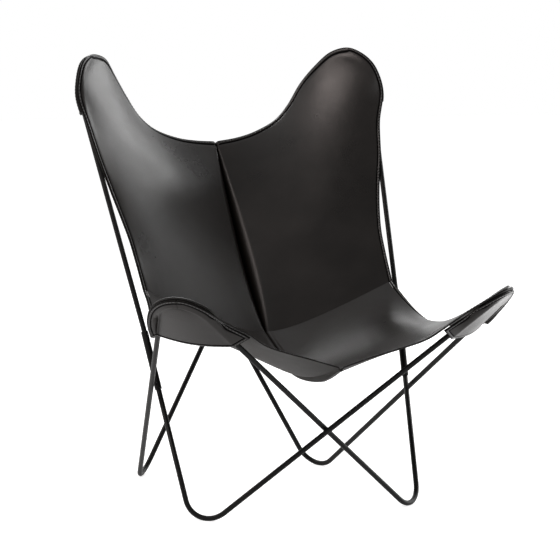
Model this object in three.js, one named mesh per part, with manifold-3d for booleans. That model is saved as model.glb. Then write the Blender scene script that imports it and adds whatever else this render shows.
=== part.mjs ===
// Butterfly sling chair: two bent-bar loops carry a four-panel leather sling.
// Millimetres, +Z up, the front faces -Y, the origin is on the floor under the middle.
import * as THREE from 'three';
import { mergeVertices } from 'three/addons/utils/BufferGeometryUtils.js';
import Module from 'manifold-3d';

// Driving dimensions
const clearance = 0.3; // gap left between touching pieces
const overrun = 5; // how far a cutter passes the piece it cuts

// Steel bar
const barDiameter = 11;
const restDepth = 0.4; // depth of the flats that the floor bends stand on

// Sharp corners of one bar loop, before the bends are rounded. The other loop is its mirror.
const frontFloor = { halfWidth: 255, y: -254 };
const rearFloor = { halfWidth: 211, y: 254 };
const frontHorn = { halfWidth: 395, y: -492, z: 534 };
const sideKink = { halfWidth: 296, y: -36, z: 371 };
const rearHornFoot = { halfWidth: 349, y: 259, z: 846 };
const rearHorn = { halfWidth: 315, y: 320, z: 1005 };
const rearHornHeel = { halfWidth: 260, y: 363, z: 846 };

// Bend radii on the bar's centre line
const floorBendRadius = 53;
const frontHornRadius = 55;
const rearHornRadius = 54;
const compoundBendRadius = 90;
const kinkBendRadius = 220;

// Sleeves that join the upper hairpins to the lower bars
const sleeveDiameter = 15;
const sleeveLength = 130;
const sleeveChamfer = 1.2;
const sideSleeveDrop = 6; // from the kink in the side bar to the sleeve's top end
const rearSleeveRise = 48; // from the rear crossing to the sleeve's lower end

// Set screws
const screwHeadDiameter = 8;
const screwHeadHeight = 3;
const screwShankDiameter = 5;
const screwSocketWidth = 4;
const screwSocketDepth = 1.8;
const screwEndDistance = 14; // from the sleeve's lower end

// Weld beads at the two crossings
const beadRadius = 9.5;

// Leather
const leather = 3.6; // thickness
const seamAllowance = 12; // turned back along the centre seams
const seamFold = 4; // least half width of the fold at a centre seam
const seatSeamEnd = { y: -418, z: 329 }; // front end of the seat's centre seam
const creaseMiddle = { y: 12, z: 345 }; // where the two centre seams meet
const backSeamTop = { x: 18, y: 400, z: 734 };
const creaseEnd = { halfWidth: 287, y: -10, z: 450 };
const hemWidth = 10; // band along the free edges, outside the outermost seam
const creaseDip = 14; // how far the crease's middle hangs under its straight slope
const valleyDepth = 20; // extra depth of the back's centre fold
const valleyHalfWidth = 16; // extra half width of the back's centre fold
const keelSag = 47; // how far the seat's centre seam hangs under its chord
const tongueHalfWidth = 89; // leather over a horn, across the horn
const backTongueReach = 77; // leather over a rear horn, from the bend's centre to the tip
const seatTongueReach = 74; // the same over a front horn
const sideInset = 25; // how far the back's free side edge lies inside the side bar
const backPocketDepth = 172;
const seatPocketDepth = 175;
const pocketSag = 9; // how far a pocket's mouth hangs off the plane of the bars
const seatBelly = 26; // how far each half of the seat hangs under its smoothest shape
const pocketStart = 9; // distance of a pocket's first row from the tip, along the edge
const barReach = 45; // leather this near a bar is held clear of it

// Derived sizes
const barRadius = barDiameter / 2;
const sleeveRadius = sleeveDiameter / 2;
const sleeveBore = barRadius + clearance;
const halfLeather = leather / 2;
const layerPitch = leather + clearance; // between the middles of two layers in contact
const liftOffBar = barRadius + clearance + halfLeather; // bar axis to leather's middle
const LEFT = -1;
const RIGHT = 1;

const vec = (x, y, z) => new THREE.Vector3(x, y, z);
const lerp = (a, b, share) => a + (b - a) * share;
const at = (corner, side, shift) => vec(side * corner.halfWidth, corner.y + shift, corner.z);

const steel = { color: 0x1b1b1c, roughness: 0.5, metalness: 0.75 };
const hide = { color: 0x37332f, roughness: 0.45, metalness: 0 };

const SCREW_SIDES = 16;
const SLEEVE_SIDES = 24;
const BEAD_SIDES = 20;
const BEAD_RINGS = 14;
const BISECTIONS = 40;

const chair = new THREE.Group();
function piece(name, geometry, finish) {
  const mesh = new THREE.Mesh(geometry, new THREE.MeshStandardMaterial(finish));
  mesh.name = name;
  chair.add(mesh);
  return mesh;
}

// Bent bar
const BEND_STEP = Math.PI / 16;
const BAR_SIDES = 12;

// A bend's arc between two straight runs, as stations with a point and a tangent.
function bend(before, corner, after, radius) {
  const u = before.clone().sub(corner).normalize();
  const w = after.clone().sub(corner).normalize();
  const half = u.angleTo(w) / 2;
  const centre = u.clone().add(w).normalize().multiplyScalar(radius / Math.sin(half)).add(corner);
  const start = u.clone().multiplyScalar(radius / Math.tan(half)).add(corner);
  const spoke = start.clone().sub(centre);
  const forward = u.clone().negate();
  const turn = Math.PI - 2 * half;
  const steps = Math.max(2, Math.ceil(turn / BEND_STEP));
  const stations = [];
  for (let k = 0; k <= steps; k++) {
    const angle = (turn * k) / steps;
    const point = spoke.clone().multiplyScalar(Math.cos(angle))
      .addScaledVector(forward, radius * Math.sin(angle)).add(centre);
    const tangent = forward.clone().multiplyScalar(Math.cos(angle))
      .addScaledVector(spoke, -Math.sin(angle) / radius).normalize();
    stations.push({ point, tangent });
  }
  return { stations, centre, start };
}

// Stations of a whole bar: straight runs with a bend at each inner corner.
function barStations(corners, radii) {
  const last = corners.length - 1;
  const first = corners[1].clone().sub(corners[0]).normalize();
  const final = corners[last].clone().sub(corners[last - 1]).normalize();
  const stations = [{ point: corners[0], tangent: first }];
  for (let k = 1; k < last; k++) {
    stations.push(...bend(corners[k - 1], corners[k], corners[k + 1], radii[k - 1]).stations);
  }
  stations.push({ point: corners[last], tangent: final });
  return stations;
}

// A path with one step to each straight run and short steps round the bends.
class BarPath extends THREE.Curve {
  constructor(stations) {
    super();
    this.stations = stations;
  }
  station(t) {
    const place = t * (this.stations.length - 1);
    return this.stations[Math.round(place)];
  }
  getPoint(t, target = new THREE.Vector3()) {
    return target.copy(this.station(t).point);
  }
  getPointAt(t, target) {
    return this.getPoint(t, target);
  }
  getTangent(t, target = new THREE.Vector3()) {
    return target.copy(this.station(t).tangent);
  }
  getTangentAt(t, target) {
    return this.getTangent(t, target);
  }
}

function roundBar(stations, radius) {
  const section = new THREE.Shape();
  for (let k = 0; k < BAR_SIDES; k++) {
    const angle = (2 * Math.PI * k) / BAR_SIDES;
    const x = radius * Math.cos(angle);
    const y = radius * Math.sin(angle);
    if (k === 0) section.moveTo(x, y);
    else section.lineTo(x, y);
  }
  section.closePath();
  return new THREE.ExtrudeGeometry(section, {
    steps: stations.length - 1,
    extrudePath: new BarPath(stations),
  });
}

// Joining and cutting
const wasm = await Module();
wasm.setup();

function solid(geometry) {
  const bare = geometry.clone();
  bare.deleteAttribute('normal');
  bare.deleteAttribute('uv');
  const merged = mergeVertices(bare, 1e-4);
  return new wasm.Manifold(new wasm.Mesh({
    numProp: 3,
    vertProperties: new Float32Array(merged.attributes.position.array),
    triVerts: new Uint32Array(merged.index.array),
  }));
}

function geometryOf(body) {
  const mesh = body.getMesh();
  const geometry = new THREE.BufferGeometry();
  geometry.setAttribute('position', new THREE.BufferAttribute(new Float32Array(mesh.vertProperties), 3));
  geometry.setIndex(new THREE.BufferAttribute(new Uint32Array(mesh.triVerts), 1));
  return geometry;
}

// Turns a geometry made round +Z, and moves it to a point.
function placeAlong(geometry, origin, direction) {
  const turn = new THREE.Quaternion().setFromUnitVectors(vec(0, 0, 1), direction.clone().normalize());
  return geometry.applyQuaternion(turn).translate(origin.x, origin.y, origin.z);
}

// Frame layout
// Height of a floor corner at which its rounded bend stands on its rest flat.
function floorCorner(side, corner, before, after) {
  let low = -floorBendRadius * 2;
  let high = floorBendRadius;
  const point = vec(side * corner.halfWidth, corner.y, 0);
  for (let k = 0; k < BISECTIONS; k++) {
    point.z = (low + high) / 2;
    const heights = bend(before, point, after, floorBendRadius).stations.map((s) => s.point.z);
    if (Math.min(...heights) > barRadius - restDepth) high = point.z;
    else low = point.z;
  }
  return point;
}

// One loop: its side bar is on the given side and it runs over to the other side's front horn.
function loopLayout(side, shift) {
  const kink = at(sideKink, side, shift);
  const horn = at(frontHorn, -side, shift);
  const foot = at(rearHornFoot, side, shift);
  const top = at(rearHorn, side, shift);
  const heel = at(rearHornHeel, side, shift);
  const frontBend = { ...frontFloor, y: frontFloor.y + shift };
  const rearBend = { ...rearFloor, y: rearFloor.y + shift };
  const front = floorCorner(side, frontBend, kink, horn);
  const rear = floorCorner(-side, rearBend, horn, heel);
  return { side, kink, horn, foot, top, heel, front, rear };
}

// The loops pass each other at the crossings: the shift parts the two bars by their diameter.
function crossingSlope(a, b) {
  const run = b.clone().sub(a);
  return Math.abs(run.z) / Math.hypot(run.y, run.z);
}
const unshifted = loopLayout(LEFT, 0);
const frontSlope = crossingSlope(unshifted.front, unshifted.horn);
const loopShift = (barDiameter + clearance) / 2 / frontSlope;
const loops = {
  [LEFT]: loopLayout(LEFT, -loopShift),
  [RIGHT]: loopLayout(RIGHT, loopShift),
};

// Where a straight run of a loop passes the middle plane.
function crossing(a, b) {
  return a.clone().lerp(b, a.x / (a.x - b.x));
}

// Bars, sleeves and screws
function sleeve(name, top, direction) {
  const c = sleeveChamfer;
  const profile = [
    new THREE.Vector2(sleeveBore, 0),
    new THREE.Vector2(sleeveRadius - c, 0),
    new THREE.Vector2(sleeveRadius, c),
    new THREE.Vector2(sleeveRadius, sleeveLength - c),
    new THREE.Vector2(sleeveRadius - c, sleeveLength),
    new THREE.Vector2(sleeveBore, sleeveLength),
    new THREE.Vector2(sleeveBore, 0),
  ];
  const tube = new THREE.LatheGeometry(profile, SLEEVE_SIDES).rotateX(Math.PI / 2);
  return { name, tube: placeAlong(tube, top, direction), top, direction };
}

function screwSolid(radius, length) {
  return new THREE.CylinderGeometry(radius, radius, length, SCREW_SIDES)
    .rotateX(Math.PI / 2).translate(0, 0, length / 2);
}

// A sleeve with its screw hole, and the socket screw in it.
function fitScrew(part, outward) {
  const seat = part.top.clone().addScaledVector(part.direction, sleeveLength - screwEndDistance);
  const shankRadius = screwShankDiameter / 2;
  const hole = screwSolid(shankRadius + clearance, sleeveRadius + overrun);
  const body = solid(part.tube).subtract(solid(placeAlong(hole, seat, outward)));
  piece(part.name, geometryOf(body), steel);

  const shank = screwSolid(shankRadius, sleeveRadius + screwHeadHeight)
    .translate(0, 0, sleeveBore + clearance / 2);
  const shankTop = sleeveRadius + screwHeadHeight + clearance;
  const head = screwSolid(screwHeadDiameter / 2, screwHeadHeight)
    .translate(0, 0, sleeveRadius + clearance);
  const socket = new THREE.CylinderGeometry(1, 1, 1, 6)
    .scale(screwSocketWidth / Math.sqrt(3), screwSocketDepth + overrun, screwSocketWidth / Math.sqrt(3))
    .rotateX(Math.PI / 2)
    .translate(0, 0, shankTop - screwSocketDepth + (screwSocketDepth + overrun) / 2);
  const clip = new THREE.BoxGeometry(sleeveDiameter, sleeveDiameter, sleeveDiameter)
    .translate(0, 0, shankTop + sleeveDiameter / 2);
  const screw = solid(shank).subtract(solid(clip)).add(solid(head)).subtract(solid(socket));
  const placed = placeAlong(geometryOf(screw), seat, outward);
  piece(`${part.name}_screw`, placed, steel);
}

function buildLoop(sideName, loop) {
  const down = loop.front.clone().sub(loop.kink).normalize();
  const sleeveTop = loop.kink.clone().addScaledVector(down, sideSleeveDrop);
  const sideJoint = sleeveTop.clone().addScaledVector(down, sleeveLength / 2);

  const rearDown = loop.rear.clone().sub(loop.heel).normalize();
  const cross = crossing(loop.heel, loop.rear);
  const rearTop = cross.clone().addScaledVector(rearDown, -(rearSleeveRise + sleeveLength));
  const rearJoint = rearTop.clone().addScaledVector(rearDown, sleeveLength / 2);

  const gap = clearance / 2;
  const upper = [
    sideJoint.clone().addScaledVector(down, -gap), loop.kink, loop.foot, loop.top, loop.heel,
    rearJoint.clone().addScaledVector(rearDown, -gap),
  ];
  const upperRadii = [kinkBendRadius, compoundBendRadius, rearHornRadius, compoundBendRadius];
  const upperStations = barStations(upper, upperRadii);
  piece(`back_bar_${sideName}`, roundBar(upperStations, barRadius), steel);

  const lower = [
    sideJoint.clone().addScaledVector(down, gap), loop.front, loop.horn, loop.rear,
    rearJoint.clone().addScaledVector(rearDown, gap),
  ];
  const lowerRadii = [floorBendRadius, frontHornRadius, floorBendRadius];
  const lowerStations = barStations(lower, lowerRadii);
  const floorCut = new THREE.BoxGeometry(1, 1, 1)
    .scale(4 * frontHorn.halfWidth, 4 * frontHorn.halfWidth, overrun)
    .translate(0, 0, -overrun / 2);
  const lowerBar = solid(roundBar(lowerStations, barRadius)).subtract(solid(floorCut));
  piece(`base_bar_${sideName}`, geometryOf(lowerBar), steel);

  const outward = vec(loop.side, -1, 0).normalize();
  outward.addScaledVector(down, -outward.dot(down)).normalize();
  fitScrew(sleeve(`side_sleeve_${sideName}`, sleeveTop, down), outward);
  const behind = vec(0, 1, 0);
  behind.addScaledVector(rearDown, -behind.dot(rearDown)).normalize();
  fitScrew(sleeve(`rear_sleeve_${sideName}`, rearTop, rearDown), behind);
  return { upperStations, lowerStations };
}

const bars = {
  [LEFT]: buildLoop('left', loops[LEFT]),
  [RIGHT]: buildLoop('right', loops[RIGHT]),
};

// A weld bead fills the angle between the two bars of a crossing.
function crossingWeld(name, runOf) {
  const [a, b] = runOf(loops[LEFT]);
  const [c, d] = runOf(loops[RIGHT]);
  const left = crossing(a, b);
  const right = crossing(c, d);
  const middle = left.clone().add(right).multiplyScalar(0.5);
  const bead = new THREE.SphereGeometry(beadRadius, BEAD_SIDES, BEAD_RINGS).translate(middle.x, middle.y, middle.z);
  const cutter = (p, q) => solid(roundBar([
    { point: p, tangent: q.clone().sub(p).normalize() },
    { point: q, tangent: q.clone().sub(p).normalize() },
  ], (barRadius + clearance) / Math.cos(Math.PI / BAR_SIDES)));
  const body = solid(bead).subtract(cutter(a, b)).subtract(cutter(c, d));
  piece(name, geometryOf(body), steel);
}
crossingWeld('front_weld', (loop) => [loop.front, loop.horn]);
crossingWeld('rear_weld', (loop) => [loop.heel, loop.rear]);

// Sling layout
const SEAM_STEPS = 12; // cells of a panel along its centre seam
const ACROSS_STEPS = 14; // cells of a panel from its seam to its free side edge
const FOLD_STEPS = 3; // cells round the fold at the centre seam
const MIDDLE_ROW = SEAM_STEPS / 2;
const MIDDLE_COLUMN = ACROSS_STEPS / 2;
const FILL_ROUNDS = 200;
const CURVE_SAMPLES = 400;
const BELLY_POWER = 0.55; // under 1 it brings the lowest place towards the seam

// Frame of one horn: centre of its bend, direction of its tip, outward side, upper face.
function hornFrame(tip, outer, inner, radius, faceHint) {
  const { centre } = bend(outer, tip, inner, radius);
  const reach = tip.clone().sub(centre).normalize();
  const u = outer.clone().sub(tip).normalize();
  const w = inner.clone().sub(tip).normalize();
  const outward = u.sub(w).normalize();
  const face = new THREE.Vector3().crossVectors(reach, outward).normalize();
  if (face.dot(faceHint) < 0) face.negate();
  return { centre, reach, outward, face };
}

const seamLiftShare = layerPitch / 2 / liftOffBar; // a pocket's seam lies level with the bar

// A point over a horn, from shares of the tongue's half width.
function tonguePoint(horn, reachShare, outShare, liftShare = seamLiftShare) {
  return horn.centre.clone()
    .addScaledVector(horn.reach, reachShare * tongueHalfWidth)
    .addScaledVector(horn.outward, outShare * tongueHalfWidth)
    .addScaledVector(horn.face, liftShare * liftOffBar);
}

// Edge of the back between the crease and the horn: place along the side bar, inset, forward.
const backSideShares = [
  [0.13, 0.76, 0.60], [0.24, 0.80, 0.30], [0.35, 0.64, 0.12],
  [0.48, 0.36, 0.14], [0.63, 0.02, 0.48], [0.81, -0.24, 0.62],
];
// Round a horn's tongue, from the outer shoulder over the tip to the inner shoulder.
const backTongueShares = [[-0.20, 0.94], [0.34, 0.75], [0.72, 0.41]];
const backInnerShares = [[0.80, -0.30], [0.62, -0.66, 0.7], [0.16, -1.06, 1.3]];
const seatTongueShares = [[-0.68, 1.07, -1.6], [-0.13, 1.00, -1.2], [0.40, 0.76, -0.4], [0.71, 0.40, 0.1]];
const seatInnerShares = [[0.81, -0.28], [0.50, -0.66, 0.6], [-0.05, -0.80, 1.6]];
// Top edge of the back between the seam and the horn: place along, drop back, height.
const topEdgeShares = [
  [0.37, 0.03, 0.09], [0.58, 0.03, 0.22], [0.74, 0.00, 0.38], [0.86, -0.04, 0.66],
];
// Free side edge of the seat, from the crease to the horn's mouth.
const seatSideShares = [
  [0.145, -0.024, 0.42], [0.33, -0.035, 0.98], [0.53, -0.042, 1.35], [0.85, -0.014, 1.1],
];
// Front edge of the seat between the seam and the horn: place along, forward, height.
const frontEdgeShares = [
  [0.26, 0.00, 0.20], [0.48, -0.02, 0.36], [0.66, -0.04, 0.52], [0.80, -0.05, 0.74],
];
// Sag of the seat's centre seam: place along its chord, share of the sag.
const keelShares = [[0.15, 0.47], [0.30, 0.84], [0.44, 1.0], [0.65, 0.86], [0.85, 0.47]];

function edge(points) {
  return new THREE.CatmullRomCurve3(points, false, 'centripetal');
}

// Even points on a curve between two of its arc length shares.
function sampleBetween(curve, from, to, steps) {
  const points = [];
  for (let k = 0; k <= steps; k++) points.push(curve.getPointAt(lerp(from, to, k / steps)));
  return points;
}

// Arc length share at which a curve passes one of its points.
function lengthShareAt(curve, index) {
  const lengths = curve.getLengths(CURVE_SAMPLES);
  const total = lengths[lengths.length - 1];
  const place = (index / (curve.points.length - 1)) * CURVE_SAMPLES;
  return lengths[Math.round(place)] / total;
}

// Smooth filling of a grid between its fixed borders, kept in front of the bars.
function fillGrid(grid, bar, face, rounds) {
  const rows = grid.length;
  const columns = grid[0].length;
  for (let round = 0; round < rounds; round++) {
    for (let j = 1; j < rows - 1; j++) {
      for (let i = 1; i < columns - 1; i++) {
        const sum = grid[j - 1][i].clone().add(grid[j + 1][i]).add(grid[j][i - 1]).add(grid[j][i + 1]);
        grid[j][i].copy(sum.multiplyScalar(0.25));
        liftOver(grid[j][i], bar, face);
      }
    }
  }
}

// Moves a point off the bar to the leather's side where it comes too near.
function liftOver(point, stations, face) {
  const segment = new THREE.Line3();
  const nearest = new THREE.Vector3();
  let best = Infinity;
  let away = null;
  for (let k = 0; k + 1 < stations.length; k++) {
    segment.set(stations[k].point, stations[k + 1].point);
    segment.closestPointToPoint(point, true, nearest);
    const distance = nearest.distanceTo(point);
    if (distance < best) {
      best = distance;
      away = { foot: nearest.clone(), tangent: segment.delta(new THREE.Vector3()).normalize() };
    }
  }
  if (best > barReach) return;
  const up = face.clone().addScaledVector(away.tangent, -face.dot(away.tangent)).normalize();
  const height = point.clone().sub(away.foot).dot(up);
  const needed = liftOffBar + clearance;
  if (height < needed) point.addScaledVector(up, needed - height);
}

// Middle surface of a panel: rows run along the seam, columns from the seam outwards.
function panelGrid(layout) {
  const { seam, crease, sideEdge, topEdge, bar, face, belly } = layout;
  const rows = [];
  for (let j = 0; j <= SEAM_STEPS; j++) {
    const v = j / SEAM_STEPS;
    const row = [];
    for (let i = 0; i <= ACROSS_STEPS; i++) {
      const u = i / ACROSS_STEPS;
      const point = seam[j].clone().multiplyScalar(1 - u).addScaledVector(sideEdge[j], u)
        .addScaledVector(crease[i], 1 - v).addScaledVector(topEdge[i], v)
        .addScaledVector(crease[0], -(1 - u) * (1 - v))
        .addScaledVector(crease[ACROSS_STEPS], -u * (1 - v))
        .addScaledVector(topEdge[0], -(1 - u) * v)
        .addScaledVector(topEdge[ACROSS_STEPS], -u * v);
      row.push(point);
    }
    rows.push(row);
  }
  fillGrid(rows, bar, face, FILL_ROUNDS);
  const grid = addHem(rows, layout);
  if (belly > 0) hang(grid, belly, bar, face);
  return grid;
}

// Lets the inside of a panel hang under its smoothest shape, most of all near the seam.
function hang(rows, depth, bar, face) {
  for (let j = 1; j < SEAM_STEPS; j++) {
    for (let i = 1; i < ACROSS_STEPS; i++) {
      const point = rows[j][i];
      const across = Math.sin(Math.PI * (i / ACROSS_STEPS) ** BELLY_POWER);
      point.z -= depth * across * Math.sin((Math.PI * j) / SEAM_STEPS);
      liftOver(point, bar, face);
    }
  }
}

// Pulls the outer border in by the hem's width, off the bar, and adds the free edge outside it.
function addHem(rows, { sideRim, topRim, bar, face }) {
  const last = ACROSS_STEPS;
  const end = SEAM_STEPS;
  const inward = (rim, inner, tangent) => {
    const direction = inner.clone().sub(rim);
    direction.addScaledVector(tangent, -direction.dot(tangent));
    return direction.normalize();
  };
  const tangentAt = (points, k) => points[Math.min(points.length - 1, k + 1)].clone()
    .sub(points[Math.max(0, k - 1)]).normalize();
  const sideEdge = rows.map((row) => row[last].clone());
  const topEdge = rows[end].map((point) => point.clone());
  const inset = (rim, inner, tangent) => {
    const point = rim.clone().addScaledVector(inward(rim, inner, tangent), hemWidth);
    liftOver(point, bar, face);
    return point;
  };
  const sideInner = sideEdge.map((rim, j) => inset(rim, rows[j][last - 1], tangentAt(sideEdge, j)));
  const topInner = topEdge.map((rim, i) => inset(rim, rows[end - 1][i], tangentAt(topEdge, i)));
  const tip = inset(topEdge[last], rows[end - 2][last - 2], tangentAt(topEdge, last));
  sideInner.forEach((point, j) => rows[j][last].copy(point));
  topInner.forEach((point, i) => rows[end][i].copy(point));
  rows[end][last].copy(tip);
  rows[0][last].copy(sideEdge[0]).lerp(rows[0][last - 1], hemWidth / sideEdge[0].distanceTo(rows[0][last - 1]));
  rows[end][0].copy(topEdge[0]).lerp(rows[end - 1][0], hemWidth / topEdge[0].distanceTo(rows[end - 1][0]));
  fillGrid(rows, bar, face, FILL_ROUNDS);
  rows.forEach((row, j) => row.push(sideRim[j]));
  rows.push(topRim);
  return rows;
}

// Adds the fold and the turned-back allowance at the seam side of each row.
function addSeamFold(rows, side, foldAt) {
  return rows.map((row, j) => {
    const { x, halfWidth, depth, back, allowance } = foldAt(Math.min(1, j / SEAM_STEPS));
    const seamPlane = x + side * (halfLeather + clearance / 2);
    const extra = [];
    const end = row[0].clone().setX(seamPlane).addScaledVector(back, depth + allowance);
    extra.push(end);
    for (let k = 0; k < FOLD_STEPS; k++) {
      const angle = (Math.PI / 2) * (1 - k / FOLD_STEPS);
      const point = row[0].clone().setX(seamPlane + side * halfWidth * (1 - Math.sin(angle)));
      point.addScaledVector(back, depth * (1 - Math.cos(angle)));
      extra.push(point);
    }
    return [...extra, ...row];
  });
}

// Area-weighted normals of a grid of points.
function gridNormals(rows) {
  const normals = rows.map((row) => row.map(() => new THREE.Vector3()));
  const triangle = new THREE.Triangle();
  const normal = new THREE.Vector3();
  const add = (a, b, c) => {
    triangle.set(rows[a[0]][a[1]], rows[b[0]][b[1]], rows[c[0]][c[1]]);
    const area = triangle.getArea();
    triangle.getNormal(normal);
    for (const q of [a, b, c]) normals[q[0]][q[1]].addScaledVector(normal, area);
  };
  for (let j = 0; j + 1 < rows.length; j++) {
    for (let i = 0; i + 1 < rows[0].length; i++) {
      add([j, i], [j, i + 1], [j + 1, i + 1]);
      add([j, i], [j + 1, i + 1], [j + 1, i]);
    }
  }
  return normals.map((row) => row.map((n) => n.normalize()));
}

// Closed slab between two offset copies of a grid.
function slab(rows, offsets) {
  const height = rows.length;
  const width = rows[0].length;
  const positions = [];
  for (const sign of [1, -1]) {
    rows.forEach((row, j) => row.forEach((point, i) => {
      const p = point.clone().addScaledVector(offsets[j][i], sign);
      positions.push(p.x, p.y, p.z);
    }));
  }
  const layer = width * height;
  const id = (j, i, under) => j * width + i + (under ? layer : 0);
  const index = [];
  for (let j = 0; j + 1 < height; j++) {
    for (let i = 0; i + 1 < width; i++) {
      const [a, b, c, d] = [id(j, i), id(j, i + 1), id(j + 1, i + 1), id(j + 1, i)];
      index.push(a, b, c, a, c, d);
      index.push(a + layer, c + layer, b + layer, a + layer, d + layer, c + layer);
    }
  }
  const rim = [];
  for (let i = 0; i < width - 1; i++) rim.push(id(0, i));
  for (let j = 0; j < height - 1; j++) rim.push(id(j, width - 1));
  for (let i = width - 1; i > 0; i--) rim.push(id(height - 1, i));
  for (let j = height - 1; j > 0; j--) rim.push(id(j, 0));
  rim.forEach((a, k) => {
    const b = rim[(k + 1) % rim.length];
    index.push(a, a + layer, b + layer, a, b + layer, b);
  });
  const geometry = new THREE.BufferGeometry();
  geometry.setAttribute('position', new THREE.BufferAttribute(new Float32Array(positions), 3));
  geometry.setIndex(index);
  return facingOut(geometry);
}

// Turns the faces round where a geometry is inside out.
function facingOut(geometry) {
  const p = geometry.attributes.position;
  const index = geometry.index.array;
  const [a, b, c] = [vec(0, 0, 0), vec(0, 0, 0), vec(0, 0, 0)];
  let volume = 0;
  for (let k = 0; k < index.length; k += 3) {
    a.fromBufferAttribute(p, index[k]);
    b.fromBufferAttribute(p, index[k + 1]);
    c.fromBufferAttribute(p, index[k + 2]);
    volume += a.dot(b.clone().cross(c));
  }
  if (volume < 0) {
    for (let k = 0; k < index.length; k += 3) {
      [index[k + 1], index[k + 2]] = [index[k + 2], index[k + 1]];
    }
  }
  return geometry;
}

// Panels of one side
const POCKET_ROWS = 10;
const POCKET_WRAP_SHARES = [0, 0.35, 0.7, 1]; // from where a taut layer meets the bar
const POCKET_LEAST_WRAP = 0.15; // radians of a pocket that lie on the bar
const POCKET_FLAT_SHARES = [0.2, 0.5, 0.8];
const POCKET_ROW_POWER = 1.2; // rows crowd towards the tip
const TIP_GAP_SHARE = 0.35; // last point before the tip, as a share of one cell
const CREASE_CURVE_SHARES = { near: 0.18, far: 0.5 };
const FOLD_BLEND = 4; // the fold's direction turns over the first of this many parts of the seam
const CREASE_GAP_SHARE = 0.6; // of the clearance, that each panel stands back from the crease
const FRONT_ALLOWANCE_SHARE = 0.2; // of the seam allowance, left at the seat's front end
const middle = vec(0, creaseMiddle.y, creaseMiddle.z);
const seamTop = vec(backSeamTop.x, backSeamTop.y, backSeamTop.z);
const seatEnd = vec(0, seatSeamEnd.y, seatSeamEnd.z);
const backChord = seamTop.clone().sub(middle);
const backward = vec(0, backChord.z, -backChord.y).normalize();
const downward = vec(0, 0, -1);
const creaseBack = backward.clone().add(downward).normalize();

// Fold at the back's centre seam: a valley that is deepest half way up.
function backFold(v) {
  const swell = Math.sin(Math.PI * v);
  return {
    x: lerp(middle.x, seamTop.x, v),
    halfWidth: seamFold + valleyHalfWidth * swell,
    depth: seamFold + valleyDepth * swell,
    back: creaseBack.clone().lerp(backward, Math.min(1, FOLD_BLEND * v)).normalize(),
    allowance: seamAllowance,
  };
}
function seatFold(v) {
  return {
    x: 0,
    halfWidth: seamFold,
    depth: seamFold,
    back: creaseBack.clone().lerp(downward, Math.min(1, FOLD_BLEND * v)).normalize(),
    allowance: seamAllowance * Math.min(1, FRONT_ALLOWANCE_SHARE + FOLD_BLEND * (1 - v)),
  };
}

function edgeAlong(from, to, shares, outDirection) {
  const span = from.distanceTo(to);
  return shares.map(([place, out, height]) => {
    const point = from.clone().lerp(to, place);
    point.addScaledVector(outDirection, out * span);
    point.z = lerp(from.z, to.z, height);
    return point;
  });
}

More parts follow.
